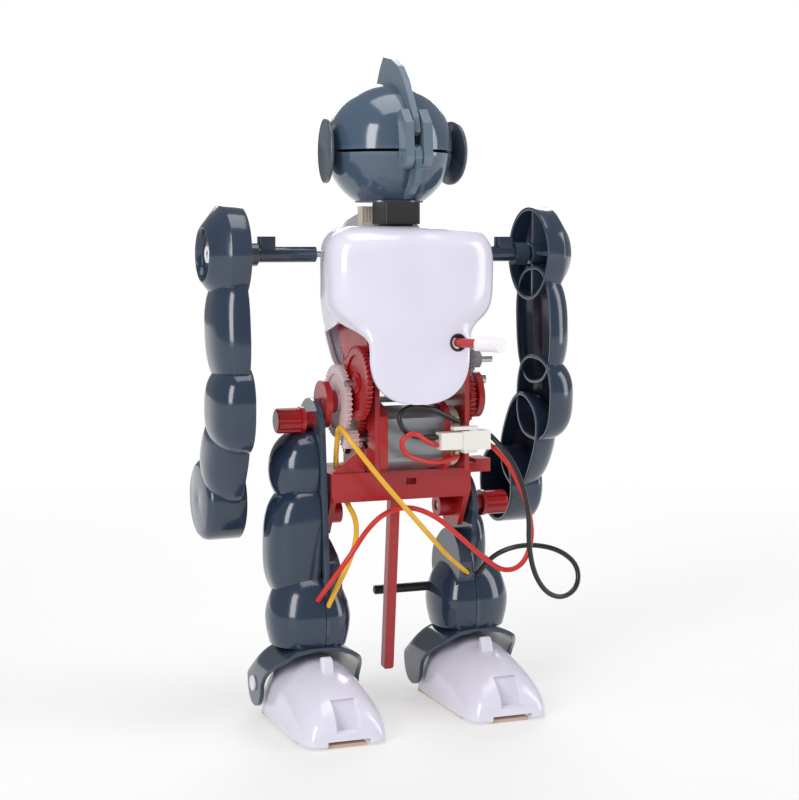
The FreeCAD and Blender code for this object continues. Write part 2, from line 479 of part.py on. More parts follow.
# ---- legs and feet -------------------------------------------------------------------------------
KNEE_Z, KNEE_R = 34.0, 12.3
KNEE_X = 28.5
YOKE_IN, YOKE_OUT, YOKE_T = 12.6, 43.4, 1.3
ANKLE_CLEAR = 14.2
ANKLE_SWING = 10.0                     # degrees either way
FOOT_IN, FOOT_OUT = 14.1, 41.9
FOOT_SIDE = [(15.5, 1.2), (15.5, 8.0), (12.0, 14.5), (8.5, 18.6), (1.5, 19.4), (-4.5, 17.4), (-8.5, 16.0),
             (-15.0, 15.2), (-24.0, 13.6), (-33.0, 9.4), (-37.2, 6.0), (-38.0, 3.6), (-38.0, 1.2)]
FOOT_AIR = 0.35                        # room above the foot as it turns
LEG_WALL = 1.2
SPLIT_X = 26.4                        # the leg's inner and outer shells part here


def knob(x0, neck, y, z):
    """A fluted thumb nut about X, its neck towards the body."""
    grip_x0, grip_x1 = x0 + neck, x0 + neck + 8.8
    grip = rounded(rod_x(grip_x0, grip_x1, y, z, 3.9), 0.8, lambda e: e.XMax - e.XMin < 1e-6)
    for n in range(8):
        turn = n * math.pi / 4
        flute = rod_x(grip_x0 + 1.2, grip_x1 + 1, y + 4.5 * math.cos(turn), z + 4.5 * math.sin(turn), 1.15)
        grip = grip.cut(flute)
    collar = rod_x(grip_x0, grip_x0 + 1.2, y, z, 4.2)
    return grip.fuse([rod_x(x0, grip_x0, y, z, 2.6), collar]).removeSplitter()


def leg(top, dy, dome):
    """The pieces of one leg on the +X side: top is its plate's upper end, dy its foot's offset."""
    ankle_y = 5.5 + dy
    knee_y = -1.0 + dy
    yoke_solid = pill_x(YOKE_IN, YOKE_OUT, (ankle_y, ANKLE_Z), 7.0, (ankle_y - 3.0, 22.5), 11.6)
    yoke_solid = rounded(yoke_solid, 3.0, lambda e: e.XMax - e.XMin < 1e-6)
    room = rod_x(YOKE_IN + YOKE_T, YOKE_OUT - YOKE_T, ankle_y, ANKLE_Z, ANKLE_CLEAR)
    yoke = yoke_solid.cut(room).cut(ball(KNEE_X, knee_y, KNEE_Z, KNEE_R - 1.5))
    yoke = yoke.cut(box(YOKE_IN + YOKE_T, YOKE_OUT - YOKE_T, -60, 60, -5, ANKLE_Z))
    yoke = yoke.cut(rod_x(0, 60, ankle_y, ANKLE_Z, 1.6))
    for part_way in (0.0, 0.27, 0.52, 0.77, 1.03):
        swept = plate_x(FOOT_IN - 0.1, FOOT_OUT + 0.1, [(y + dy, z + FOOT_AIR) for y, z in FOOT_SIDE])
        swept.rotate(V(0, ankle_y, ANKLE_Z), V(1, 0, 0), -ANKLE_SWING * part_way)
        yoke = yoke.cut(swept)

    knee = ball(KNEE_X, knee_y, KNEE_Z, KNEE_R)
    thigh_low = (knee_y + 0.5, 43.0)
    plate = pill_x(LEG_IN, SPLIT_X - 0.01, top, 11.0, (knee_y, 40.0), 10.5)
    inner = plate.fuse([pillow_x(SPLIT_X - 0.02, 20.6, (0.2, 45.5), 10.2, thigh_low, 10.4, 2.0),
                        knee.common(box(0, SPLIT_X, -60, 60, 0, 80))])
    outer = knee.common(box(SPLIT_X, 60, -60, 60, 0, 80))
    outer = outer.fuse(pillow_x(SPLIT_X, LEG_OUT, (0.0, dome[0]), 11.0, thigh_low, 10.9, 3.4))
    if dome[1]:
        outer = outer.fuse(pillow_x(SPLIT_X, LEG_OUT - 1.2, (0.0, dome[1]), 10.2, (0.0, dome[0] + 4), 10.4, 3.6))
    hollow = ball(KNEE_X, knee_y, KNEE_Z, KNEE_R - LEG_WALL)
    hollow = hollow.fuse(pill_x(21.8, LEG_OUT - LEG_WALL, (0.2, 45.2), 9.0, thigh_low, 9.2))
    cavity = pill_x(SPLIT_X - 0.1, LEG_OUT - LEG_WALL, (0.0, dome[0]), 9.8, thigh_low, 9.6)
    inner = inner.cut(hollow).cut(yoke_solid).cut(room)
    outer = outer.cut(hollow).cut(cavity).cut(yoke_solid).cut(room)
    if dome[1]:
        outer = outer.cut(pill_x(SPLIT_X - 0.1, LEG_OUT - 2.4, (0.0, dome[1]), 9.0, (0.0, dome[0] + 4), 9.2))
    groove = pill_x(LEG_OUT - 0.6, LEG_OUT + 1, (3.4, 58.0 if dome[1] else 50.0), 3.0, (3.4, 46.0), 3.0)
    outer = outer.cut(groove)
    inner = inner.cut(rod_x(20, 30, PIVOT_Y, PIVOT_Z, 1.6 + FIT))
    cell_y, cell_z = knee_y * 0.6, 26.5
    cell = rod_z(33.1, cell_y, cell_z, cell_z + CELL_LEN - 0.6, CELL_R)
    cell = cell.fuse(rod_z(33.1, cell_y, cell_z + 10, cell_z + CELL_LEN, 2.0))
    seat = cell.fuse([box(29, 37, cell_y - 4, cell_y + 4, 25.0, cell_z),
                      box(29, 37, cell_y - 4, cell_y + 4, cell_z + CELL_LEN - 1, cell_z + CELL_LEN + 0.8)])
    contact = box(30.0, 36.2, cell_y - 3, cell_y + 3, cell_z - 0.35, cell_z - 0.02)
    tab = box(30.0, 36.2, cell_y - 3, cell_y + 3, cell_z + CELL_LEN + 0.02, cell_z + CELL_LEN + 0.35)
    pin = rod_x(YOKE_IN, YOKE_OUT, ankle_y, ANKLE_Z, 1.6)
    pin = pin.fuse([rod_x(YOKE_OUT, YOKE_OUT + 0.6, ankle_y, ANKLE_Z, 2.1),
                    rod_x(YOKE_IN - 0.6, YOKE_IN, ankle_y, ANKLE_Z, 2.1)]).removeSplitter()
    return {"leg_{}_inner_shell": inner, "leg_{}_outer_shell": outer.cut(seat),
            "ankle_yoke_{}": Part.makeCompound([yoke.cut(seat), pin]),
            "battery_{}": Part.makeCompound([cell, contact, tab])}


def foot(dy):
    """One foot on the +X side, hollow above its sole, with a window in its toe."""
    body = plate_x(FOOT_IN, FOOT_OUT, [(y + dy, z) for y, z in FOOT_SIDE])
    toe_r = 9.0
    plan = box(FOOT_IN, FOOT_OUT, -38.0 + dy + toe_r, 15.5 + dy - 7.0, 0, 40)
    plan = plan.fuse(box(FOOT_IN + toe_r, FOOT_OUT - toe_r, -38.0 + dy, 15.5 + dy, 0, 40))
    for x in (FOOT_IN + toe_r, FOOT_OUT - toe_r):
        plan = plan.fuse(rod_z(x, -38.0 + dy + toe_r, 0, 40, toe_r))
        plan = plan.fuse(rod_z(x, 15.5 + dy - toe_r, 0, 40, toe_r))
    body = body.common(plan).removeSplitter()
    hollow = plate_x(FOOT_IN + 1.4, FOOT_OUT - 1.4, [
        (13.4 + dy, 1.0), (13.4 + dy, 7.4), (10.6 + dy, 13.6), (7.6 + dy, 17.0), (1.5 + dy, 18.0),
        (-4.5 + dy, 15.8), (-8.4 + dy, 14.5), (-14.6 + dy, 13.7), (-23.4 + dy, 12.1), (-31.0 + dy, 8.4),
        (-33.0 + dy, 4.0), (-33.0 + dy, 1.0)])
    low_plan = box(FOOT_IN + 1.4, FOOT_OUT - 1.4, -29.0 + dy, 8.0 + dy, 0, 40)
    low_plan = low_plan.fuse(box(FOOT_IN + 9.0, FOOT_OUT - 9.0, -36.0 + dy, 14.0 + dy, 0, 40))
    body = body.cut(hollow.common(low_plan))
    body = body.cut(box(FOOT_X - 3.8, FOOT_X + 3.8, -42 + dy, -31.5 + dy, 4.6, 11.0))
    for x in (-9.0, 0.0, 9.0):
        body = body.cut(box(FOOT_X + x - 1.5, FOOT_X + x + 1.5, -42 + dy, -35.0 + dy, 0, 2.6))
    tab = box(FOOT_X - 2.4, FOOT_X + 2.4, -17.0 + dy, -14.8 + dy, 14.2, 22.4)
    body = body.fuse(rounded(tab, 1.1, lambda e: e.ZMin > 22.3 and e.YMax - e.YMin > 1)).removeSplitter()
    ankle_y = 5.5 + dy
    body = body.cut(rod_x(0, 60, ankle_y, ANKLE_Z, 1.6 + FIT))
    sole = box(FOOT_IN + 1.0, FOOT_OUT - 1.0, -28.0 + dy, 8.0 + dy, 0, 1.0)
    sole = sole.fuse(box(FOOT_IN + 8.0, FOOT_OUT - 8.0, -36.6 + dy, 14.2 + dy, 0, 1.0)).removeSplitter()
    return {"foot_{}": body, "foot_sole_{}": sole}


def add_leg(side, pieces):
    for name, shape in pieces.items():
        parts[name.format(side)] = shape if side == "left" else mirrored(shape)


add_leg("left", leg((0.0, 63.7), STRIDE, (47.4, 0)))
add_leg("right", leg((0.0, 88.5), -STRIDE, (60.0, 77.4)))
add_leg("left", foot(STRIDE))
add_leg("right", foot(-STRIDE))

crank_hole = mirrored(rod_x(20, 30, CRANK_Y, CRANK_Z - CRANK_THROW, 1.5))
parts["leg_right_inner_shell"] = parts["leg_right_inner_shell"].cut(crank_hole)
KNOB_NECK = 2.9
right_knob = knob(SPLIT_X, KNOB_NECK, CRANK_Y, CRANK_Z - CRANK_THROW)
right_stud = rod_x(LEG_IN, SPLIT_X, CRANK_Y, CRANK_Z - CRANK_THROW, 1.5)
parts["knob_right"] = mirrored(Part.makeCompound([right_knob, right_stud]))
left_knob = knob(SPLIT_X + GAP, 5.0, PIVOT_Y, PIVOT_Z)
parts["knob_left"] = left_knob.cut(rod_x(20, 32.1, PIVOT_Y, PIVOT_Z, 1.6))
bar = rounded(rod_x(-2.4, 19.5, 6.5, KNEE_Z + 2.0, 1.5), 0.6, lambda e: e.XMax < -2.3)
bar = bar.cut(parts["ankle_yoke_left"]).cut(ball(KNEE_X, -1.0 + STRIDE, KNEE_Z, KNEE_R))
parts["knee_bar"] = bar

# ---- connector and wires -------------------------------------------------------------------------
CONN_Y, CONN_Z = -24.0, 87.2


socket = box(7.4, 14.6, CONN_Y - 2.3, CONN_Y + 2.3, CONN_Z - 2.6, CONN_Z + 2.6)
socket = socket.cut(box(12.0, 15.0, CONN_Y - 1.6, CONN_Y + 1.6, CONN_Z - 1.9, CONN_Z + 1.9))
parts["connector_socket"] = socket
plug = box(12.2, 14.6, CONN_Y - 1.55, CONN_Y + 1.55, CONN_Z - 1.85, CONN_Z + 1.85)
plug = plug.fuse([box(14.65, 23.6, CONN_Y - 2.6, CONN_Y + 2.6, CONN_Z - 2.9, CONN_Z + 2.9),
                  box(11.8, 20.0, CONN_Y - 1.2, CONN_Y + 1.2, CONN_Z + 3.2, CONN_Z + 4.2),
                  box(17.2, 19.6, CONN_Y - 1.2, CONN_Y + 1.2, CONN_Z + 2.8, CONN_Z + 3.4),
                  box(15.2, 19.4, CONN_Y - 1.8, CONN_Y + 1.8, CONN_Z - 3.9, CONN_Z - 2.8)])
parts["connector_plug"] = plug.removeSplitter()

WIRES = {
    "wire_red_leg": [
        (24.2, -23.8, 85.6), (28.8, -25.2, 81.6), (33.0, -26.8, 73.7), (36.8, -27.4, 63.9),
        (37.8, -27.0, 54.7),
        (34.7, -26.8, 47.3), (28.4, -26.4, 45.6), (22.0, -25.4, 50.2), (14.7, -24.2, 57.0),
        (6.8, -23.2, 64.1),
        (-2.0, -22.8, 67.6), (-10.2, -24.0, 66.3), (-17.0, -26.6, 61.9), (-22.3, -27.2, 54.6),
        (-27.0, -23.6, 46.6), (-29.0, -15.8, 39.0)],
    "wire_black_leg": [
        (24.4, -24.2, 88.4), (28.4, -28.0, 83.6), (32.4, -30.6, 74.6), (34.6, -31.4, 64.4),
        (34.6, -31.0, 54.4),
        (36.9, -30.2, 45.1), (41.9, -29.0, 38.3), (48.3, -28.0, 36.1), (54.2, -26.6, 39.1),
        (55.0, -24.8, 45.6),
        (49.5, -23.4, 50.6), (41.0, -21.6, 52.8), (33.6, -18.4, 51.6), (28.6, -13.8, 47.4),
        (27.0, -9.4, 41.8)],
    "wire_yellow_right": [
        (-25.6, -15.6, 36.8), (-23.8, -19.0, 43.6), (-20.6, -20.6, 50.8), (-17.8, -19.6, 57.6),
        (-16.4, -15.4, 63.4), (-17.2, -9.0, 67.6), (-20.0, -6.6, 74.8), (-20.4, -8.4, 82.4)],
    "wire_yellow_left": [
        (-20.42, -8.5, 82.7), (-20.8, -11.0, 88.8), (-22.4, -16.6, 92.4), (-22.2, -22.4, 90.4),
        (-18.8, -25.6, 84.8),
        (-12.6, -26.6, 76.8), (-4.3, -26.4, 67.4), (5.8, -23.6, 56.8), (15.6, -16.6, 47.8),
        (23.8, -8.8, 42.6)],
    "motor_lead_black": [
        (15.2, -20.8, 92.6), (10.6, -23.0, 94.8), (4.0, -24.6, 97.6), (-2.8, -25.0, 98.6),
        (-6.8, -25.6, 95.2),
        (-4.6, -26.0, 90.4), (0.8, -25.2, 88.5), (6.8, -24.0, 88.4)],
    "motor_lead_red": [
        (6.8, -24.0, 86.0), (2.6, -26.4, 87.2), (-2.2, -28.4, 91.0), (-6.9, -28.2, 88.6),
        (-4.6, -26.0, 83.8),
        (2.2, -23.6, 81.2), (9.2, -22.2, 80.2), (15.2, -20.8, 81.8)],
}


def tube(route, diameter):
    """A round wire along straight runs joined by arcs. Gives the solid, its length and its smallest radius."""
    points = [V(*p) for p in route]
    start, edges, length, radii = points[0], [], 0.0, []
    for before, here, after in zip(points, points[1:], points[2:]):
        back, ahead = (before - here), (after - here)
        half_turn = (math.pi - back.getAngle(ahead)) / 2
        radius = 0.45 * min(back.Length, ahead.Length) / math.tan(half_turn)
        trim = radius * math.tan(half_turn)
        back.normalize()
        ahead.normalize()
        enter, leave = here + back * trim, here + ahead * trim
        middle = (back + ahead).normalize()
        centre = here + middle * (radius / math.cos(half_turn))
        apex = centre - middle * radius
        edges += [Part.LineSegment(start, enter).toShape(), Part.Arc(enter, apex, leave).toShape()]
        length += (enter - start).Length + radius * 2 * half_turn
        radii.append(radius)
        start = leave
    edges.append(Part.LineSegment(start, points[-1]).toShape())
    length += (points[-1] - start).Length
    path = Part.Wire(edges)
    section = Part.Wire(Part.Circle(points[0], points[1] - points[0], diameter / 2).toShape())
    solid = path.makePipeShell([section], True, False)
    return solid, length, radii


for name, route in WIRES.items():
    solid, length, radii = tube(route, WIRE_D)
    parts[name] = solid
    expected = length * math.pi * WIRE_D ** 2 / 4
    print(name, "length", round(length, 1), "radii", [round(r, 1) for r in radii],
          "volume ratio", round(solid.Volume / expected, 3))

# The wires pass through their holes in the knees and the frame
passage = [tube(route, WIRE_D + 0.5)[0] for route in WIRES.values()]
for name in ("leg_left_inner_shell", "leg_left_outer_shell", "leg_right_inner_shell", "leg_right_outer_shell",
             "hip_frame"):
    for way in passage:
        if parts[name].BoundBox.intersect(way.BoundBox):
            parts[name] = parts[name].cut(way)

# ---- write the pieces ----------------------------------------------------------------------------
os.makedirs("parts", exist_ok=True)
for name, shape in parts.items():
    shape.translate(V(0, ORIGIN_Y, 0))
    if not shape.isValid() or not shape.Solids:
        print("check", name, "valid", shape.isValid(), "solids", len(shape.Solids))
    shape.exportStep("parts/" + name + ".step")
whole = Part.makeCompound([s for n, s in parts.items() if n not in WIRES]).BoundBox
print("pieces", len(parts), "box without wires", [round(v, 2) for v in (
    whole.XMin, whole.XMax, whole.YMin, whole.YMax, whole.ZMin, whole.ZMax)])
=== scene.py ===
import bpy
import bmesh
import json
import math
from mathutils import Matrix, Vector


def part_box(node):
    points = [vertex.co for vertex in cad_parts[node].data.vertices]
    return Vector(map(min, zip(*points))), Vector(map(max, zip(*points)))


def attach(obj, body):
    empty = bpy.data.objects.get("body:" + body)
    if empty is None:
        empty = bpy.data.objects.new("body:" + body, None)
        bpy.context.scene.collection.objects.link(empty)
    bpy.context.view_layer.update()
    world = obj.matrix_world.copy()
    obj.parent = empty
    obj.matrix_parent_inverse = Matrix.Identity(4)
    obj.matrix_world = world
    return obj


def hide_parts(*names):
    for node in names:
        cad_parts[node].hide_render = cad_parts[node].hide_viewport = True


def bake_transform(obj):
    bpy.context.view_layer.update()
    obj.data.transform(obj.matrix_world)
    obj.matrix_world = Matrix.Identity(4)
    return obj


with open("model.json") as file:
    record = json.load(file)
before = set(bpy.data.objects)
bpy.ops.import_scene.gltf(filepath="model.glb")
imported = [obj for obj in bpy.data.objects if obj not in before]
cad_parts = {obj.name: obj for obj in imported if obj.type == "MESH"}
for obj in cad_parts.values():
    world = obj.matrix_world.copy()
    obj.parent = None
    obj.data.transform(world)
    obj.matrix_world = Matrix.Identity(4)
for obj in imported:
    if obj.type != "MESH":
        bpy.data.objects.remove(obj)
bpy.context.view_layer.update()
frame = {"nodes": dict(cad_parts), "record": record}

MM = 0.001
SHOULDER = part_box("shoulder_axle")
AXLE_Y = (SHOULDER[0][1] + SHOULDER[1][1]) / 2       # depth of the shoulder axle
AXLE_Z = (SHOULDER[0][2] + SHOULDER[1][2]) / 2


def at(x, y, z):
    """A point in metres from millimetres, with y counted from the shoulder axle."""
    return (x * MM, AXLE_Y + y * MM, z * MM)


# ---- camera, light and floor ---------------------------------------------------------------------
CAMERA_TURN = math.radians(-21.0)
CAMERA_FAR, CAMERA_HIGH = 0.540, 0.1484
CAMERA_DIP = math.radians(5.335)
CAMERA_LENS, SENSOR = 77.2, 36.0
ASIDE = math.radians(0.385)          # the robot stands a little left of the middle

camera = bpy.data.objects.new("camera", bpy.data.cameras.new("camera"))
bpy.context.collection.objects.link(camera)
camera.location = (math.sin(CAMERA_TURN) * CAMERA_FAR,
                   AXLE_Y - math.cos(CAMERA_TURN) * CAMERA_FAR, CAMERA_HIGH)
camera.rotation_euler = (math.pi / 2 - CAMERA_DIP, 0.0, CAMERA_TURN - ASIDE)
camera.data.lens = CAMERA_LENS
camera.data.sensor_width = SENSOR
camera.data.clip_start = 0.01
bpy.context.scene.camera = camera


def area_light(name, place, aim, size, watts, tint=(1.0, 1.0, 1.0)):
    data = bpy.data.lights.new(name, "AREA")
    data.shape = "RECTANGLE"
    data.size, data.size_y = size
    data.energy = watts
    data.color = tint
    lamp = bpy.data.objects.new(name, data)
    lamp.location = place
    lamp.rotation_euler = (Vector(aim) - Vector(place)).to_track_quat("-Z", "Y").to_euler()
    bpy.context.collection.objects.link(lamp)


MIDDLE = (0.0, AXLE_Y, 0.11)
area_light("key_left", (-0.75, -0.55, 0.45), MIDDLE, (0.30, 0.75), 5.4, (1.0, 0.99, 0.98))
area_light("fill_right", (0.80, -0.35, 0.35), MIDDLE, (0.30, 0.80), 3.0, (0.97, 0.98, 1.0))
area_light("top_soft", (0.0, -0.10, 0.95), MIDDLE, (0.6, 0.6), 3.4)
area_light("back_rim", (0.25, 0.75, 0.55), MIDDLE, (0.6, 0.4), 3.0)

world = bpy.data.worlds.new("studio")
world.use_nodes = True
sky = world.node_tree.nodes["Background"]
sky.inputs["Color"].default_value = (1.0, 1.0, 1.0, 1.0)
seen = world.node_tree.nodes.new("ShaderNodeLightPath")
strength = world.node_tree.nodes.new("ShaderNodeMapRange")
strength.inputs["To Min"].default_value = 0.27       # what lights the robot
strength.inputs["To Max"].default_value = 1.0        # what is seen behind it
world.node_tree.links.new(seen.outputs["Is Camera Ray"], strength.inputs["Value"])
world.node_tree.links.new(strength.outputs["Result"], sky.inputs["Strength"])
bpy.context.scene.world = world
bpy.context.scene.view_settings.view_transform = "Standard"


# ---- materials -----------------------------------------------------------------------------------
def ramp(nodes, low, high, low_value, high_value):
    node = nodes.new("ShaderNodeMapRange")
    node.inputs["From Min"].default_value = low
    node.inputs["From Max"].default_value = high
    node.inputs["To Min"].default_value = low_value
    node.inputs["To Max"].default_value = high_value
    return node


def finish_material(name, colour, rough, metal=0.0, coat=0.0, grain=900.0, bump=0.02, tone=0.06, wear=0.0,
                    streak=(1.0, 1.0, 1.0), flow=0.25, spread=0.06):
    """A moulded or drawn surface: soft tone changes, uneven gloss, a fine grain and paler worn edges."""
    material = bpy.data.materials.new(name)
    material.use_nodes = True
    nodes, links = material.node_tree.nodes, material.node_tree.links
    shader = nodes["Principled BSDF"]
    shader.inputs["Metallic"].default_value = metal
    shader.inputs["IOR"].default_value = 1.5
    shader.inputs["Coat Weight"].default_value = coat
    shader.inputs["Coat Roughness"].default_value = 0.06
    place = nodes.new("ShaderNodeTexCoord")
    stretch = nodes.new("ShaderNodeMapping")
    stretch.inputs["Scale"].default_value = streak
    links.new(place.outputs["Object"], stretch.inputs["Vector"])

    cloud = nodes.new("ShaderNodeTexNoise")
    cloud.inputs["Scale"].default_value = 55.0
    cloud.inputs["Detail"].default_value = 4.0
    links.new(stretch.outputs["Vector"], cloud.inputs["Vector"])
    fine = nodes.new("ShaderNodeTexNoise")
    fine.inputs["Scale"].default_value = grain
    fine.inputs["Detail"].default_value = 3.0
    links.new(stretch.outputs["Vector"], fine.inputs["Vector"])

    darker = nodes.new("ShaderNodeMix")
    darker.data_type = "RGBA"
    darker.inputs["A"].default_value = (*(c * (1 - tone) for c in colour), 1.0)
    darker.inputs["B"].default_value = (*(min(1.0, c * (1 + tone)) for c in colour), 1.0)
    links.new(cloud.outputs["Fac"], darker.inputs["Factor"])
    result = darker.outputs["Result"]
    if wear:
        geometry = nodes.new("ShaderNodeNewGeometry")
        edge = ramp(nodes, 0.52, 0.60, 0.0, wear)
        links.new(geometry.outputs["Pointiness"], edge.inputs["Value"])
        worn = nodes.new("ShaderNodeMix")
        worn.data_type = "RGBA"
        worn.inputs["B"].default_value = (*(min(1.0, c * 1.5 + 0.10) for c in colour), 1.0)
        links.new(edge.outputs["Result"], worn.inputs["Factor"])
        links.new(result, worn.inputs["A"])
        result = worn.outputs["Result"]
    links.new(result, shader.inputs["Base Color"])

    gloss = ramp(nodes, 0.3, 0.7, max(0.02, rough - spread), rough + spread)
    links.new(cloud.outputs["Fac"], gloss.inputs["Value"])
    links.new(gloss.outputs["Result"], shader.inputs["Roughness"])

    low = nodes.new("ShaderNodeBump")
    low.inputs["Strength"].default_value = flow
    low.inputs["Distance"].default_value = 0.00025
    links.new(cloud.outputs["Fac"], low.inputs["Height"])
    high = nodes.new("ShaderNodeBump")
    high.inputs["Strength"].default_value = bump
    high.inputs["Distance"].default_value = 0.0002
    links.new(fine.outputs["Fac"], high.inputs["Height"])
    links.new(low.outputs["Normal"], high.inputs["Normal"])
    links.new(high.outputs["Normal"], shader.inputs["Normal"])
    return material


MATERIALS = {
    "white_shell": finish_material("white_shell", (0.74, 0.72, 0.84), 0.20,
                                   coat=0.35, bump=0.03, tone=0.02, wear=0.15),
    "navy_shell": finish_material("navy_shell", (0.021, 0.037, 0.068), 0.15,
                                  coat=0.35, bump=0.03, tone=0.10, wear=0.25),
    "head_shell": finish_material("head_shell", (0.062, 0.098, 0.150), 0.16,
                                  coat=0.6, bump=0.02, tone=0.08, wear=0.2),
    "ear_shell": finish_material("ear_shell", (0.045, 0.062, 0.090), 0.30,
                                 coat=0.3, bump=0.05, tone=0.08, wear=0.3),
    "crest_shell": finish_material("crest_shell", (0.085, 0.130, 0.175), 0.24,
                                   coat=0.4, bump=0.05, tone=0.08, wear=0.3),
    "red_plastic": finish_material("red_plastic", (0.360, 0.003, 0.006), 0.27,
                                   coat=0.10, bump=0.05, tone=0.10, wear=0.18),
    "black_plastic": finish_material("black_plastic", (0.012, 0.012, 0.014), 0.38,
                                     bump=0.10, tone=0.15, wear=0.12),
    "steel": finish_material("steel", (0.52, 0.52, 0.53), 0.26, metal=1.0, bump=0.08, tone=0.06,
                             grain=2500.0, streak=(0.15, 1.0, 1.0), flow=0.1),
    "motor_steel": finish_material("motor_steel", (0.34, 0.36, 0.38), 0.34, metal=1.0, bump=0.10, tone=0.08,
                                   grain=2200.0, streak=(0.2, 1.0, 1.0), flow=0.2),
    "brass_tab": finish_material("brass_tab", (0.62, 0.46, 0.22), 0.28, metal=1.0, bump=0.08, tone=0.08),
    "cream_plastic": finish_material("cream_plastic", (0.70, 0.63, 0.52), 0.42,
                                     bump=0.08, tone=0.05, wear=0.1),
    "connector_white": finish_material("connector_white", (0.80, 0.78, 0.74), 0.36,
                                       bump=0.06, tone=0.03, wear=0.1),
    "cap_white": finish_material("cap_white", (0.84, 0.82, 0.84), 0.28, coat=0.2, bump=0.04, tone=0.02),
    "pale_gear": finish_material("pale_gear", (0.74, 0.56, 0.58), 0.40, bump=0.06, tone=0.05, wear=0.1),
    "grey_plastic": finish_material("grey_plastic", (0.22, 0.22, 0.24), 0.38,
                                    bump=0.08, tone=0.08, wear=0.15),
    "cell_jacket": finish_material("cell_jacket", (0.10, 0.11, 0.13), 0.25, coat=0.3, bump=0.03, tone=0.08),
    "sole_pad": finish_material("sole_pad", (0.66, 0.47, 0.36), 0.70, bump=0.35, tone=0.10, grain=1500.0),
    "red_wire": finish_material("red_wire", (0.58, 0.020, 0.016), 0.36, coat=0.1, bump=0.05, tone=0.08),
    "black_wire": finish_material("black_wire", (0.010, 0.010, 0.012), 0.34, coat=0.1, bump=0.05, tone=0.10),
    "yellow_wire": finish_material("yellow_wire", (0.78, 0.43, 0.020), 0.36, coat=0.1, bump=0.05, tone=0.06),
    "floor": finish_material("floor", (0.90, 0.90, 0.90), 0.60, bump=0.02, tone=0.01, grain=400.0),
}

slots = {part["node"]: part["material_slot"] for part in frame["record"]["subparts"]}
for part in frame["record"]["subparts"]:
    node = frame["nodes"][part["node"]]
    node.data.materials.clear()
    node.data.materials.append(MATERIALS[part["material_slot"]])


FLOOR = 3.0                          # half the floor's side
floor_mesh = bpy.data.meshes.new("floor")
floor_mesh.from_pydata([(-FLOOR, -FLOOR, 0), (FLOOR, -FLOOR, 0), (FLOOR, FLOOR, 0), (-FLOOR, FLOOR, 0)], [],
                       [(0, 1, 2, 3)])
floor_mesh.materials.append(MATERIALS["floor"])
tree = MATERIALS["floor"].node_tree
spot = tree.nodes.new("ShaderNodeTexCoord")
reach = tree.nodes.new("ShaderNodeVectorMath")
reach.operation = "LENGTH"
fade = ramp(tree.nodes, 0.12, 0.55, 0.35, 1.0)
glow = tree.nodes.new("ShaderNodeEmission")
glow.inputs["Strength"].default_value = 1.0
both = tree.nodes.new("ShaderNodeMixShader")
tree.links.new(spot.outputs["Object"], reach.inputs[0])
tree.links.new(reach.outputs["Value"], fade.inputs["Value"])
tree.links.new(fade.outputs["Result"], both.inputs["Fac"])
tree.links.new(tree.nodes["Principled BSDF"].outputs["BSDF"], both.inputs[1])
tree.links.new(glow.outputs["Emission"], both.inputs[2])
tree.links.new(both.outputs["Shader"], tree.nodes["Material Output"].inputs["Surface"])
floor = bpy.data.objects.new("floor", floor_mesh)
bpy.context.collection.objects.link(floor)


# ---- wires ---------------------------------------------------------------------------------------
WIRE_D = 1.6 * MM
WIRES = {
    "wire_red_leg": [
        (24.2, -23.8, 85.6), (28.8, -25.2, 81.6), (33.0, -26.8, 73.7), (36.8, -27.4, 63.9), (37.8, -27.0, 54.7),
        (34.7, -26.8, 47.3), (28.4, -26.4, 45.6), (22.0, -25.4, 50.2), (14.7, -24.2, 57.0), (6.8, -23.2, 64.1),
        (-2.0, -22.8, 67.6), (-10.2, -24.0, 66.3), (-17.0, -26.6, 61.9), (-22.3, -27.2, 54.6),
        (-27.0, -23.6, 46.6), (-29.0, -15.8, 39.0)],
    "wire_black_leg": [
        (24.4, -24.2, 88.4), (28.4, -28.0, 83.6), (32.4, -30.6, 74.6), (34.6, -31.4, 64.4), (34.6, -31.0, 54.4),
        (36.9, -30.2, 45.1), (41.9, -29.0, 38.3), (48.3, -28.0, 36.1), (54.2, -26.6, 39.1), (55.0, -24.8, 45.6),
        (49.5, -23.4, 50.6), (41.0, -21.6, 52.8), (33.6, -18.4, 51.6), (28.6, -13.8, 47.4), (27.0, -9.4, 41.8)],
    "wire_yellow_right": [
        (-25.6, -15.6, 36.8), (-23.8, -19.0, 43.6), (-20.6, -20.6, 50.8), (-17.8, -19.6, 57.6),
        (-16.4, -15.4, 63.4), (-17.2, -9.0, 67.6), (-20.0, -6.6, 74.8), (-20.4, -8.4, 82.4)],
    "wire_yellow_left": [
        (-20.42, -8.5, 82.7), (-20.8, -11.0, 88.8), (-22.4, -16.6, 92.4), (-22.2, -22.4, 90.4),
        (-18.8, -25.6, 84.8), (-12.6, -26.6, 76.8), (-4.3, -26.4, 67.4), (5.8, -23.6, 56.8), (15.6, -16.6, 47.8),
        (23.8, -8.8, 42.6)],
    "motor_lead_black": [
        (15.2, -20.8, 92.6), (10.6, -23.0, 94.8), (4.0, -24.6, 97.6), (-2.8, -25.0, 98.6), (-6.8, -25.6, 95.2),
        (-4.6, -26.0, 90.4), (0.8, -25.2, 88.5), (6.8, -24.0, 88.4)],
    "motor_lead_red": [
        (6.8, -24.0, 86.0), (2.6, -26.4, 87.2), (-2.2, -28.4, 91.0), (-6.9, -28.2, 88.6), (-4.6, -26.0, 83.8),
        (2.2, -23.6, 81.2), (9.2, -22.2, 80.2), (15.2, -20.8, 81.8)],
}
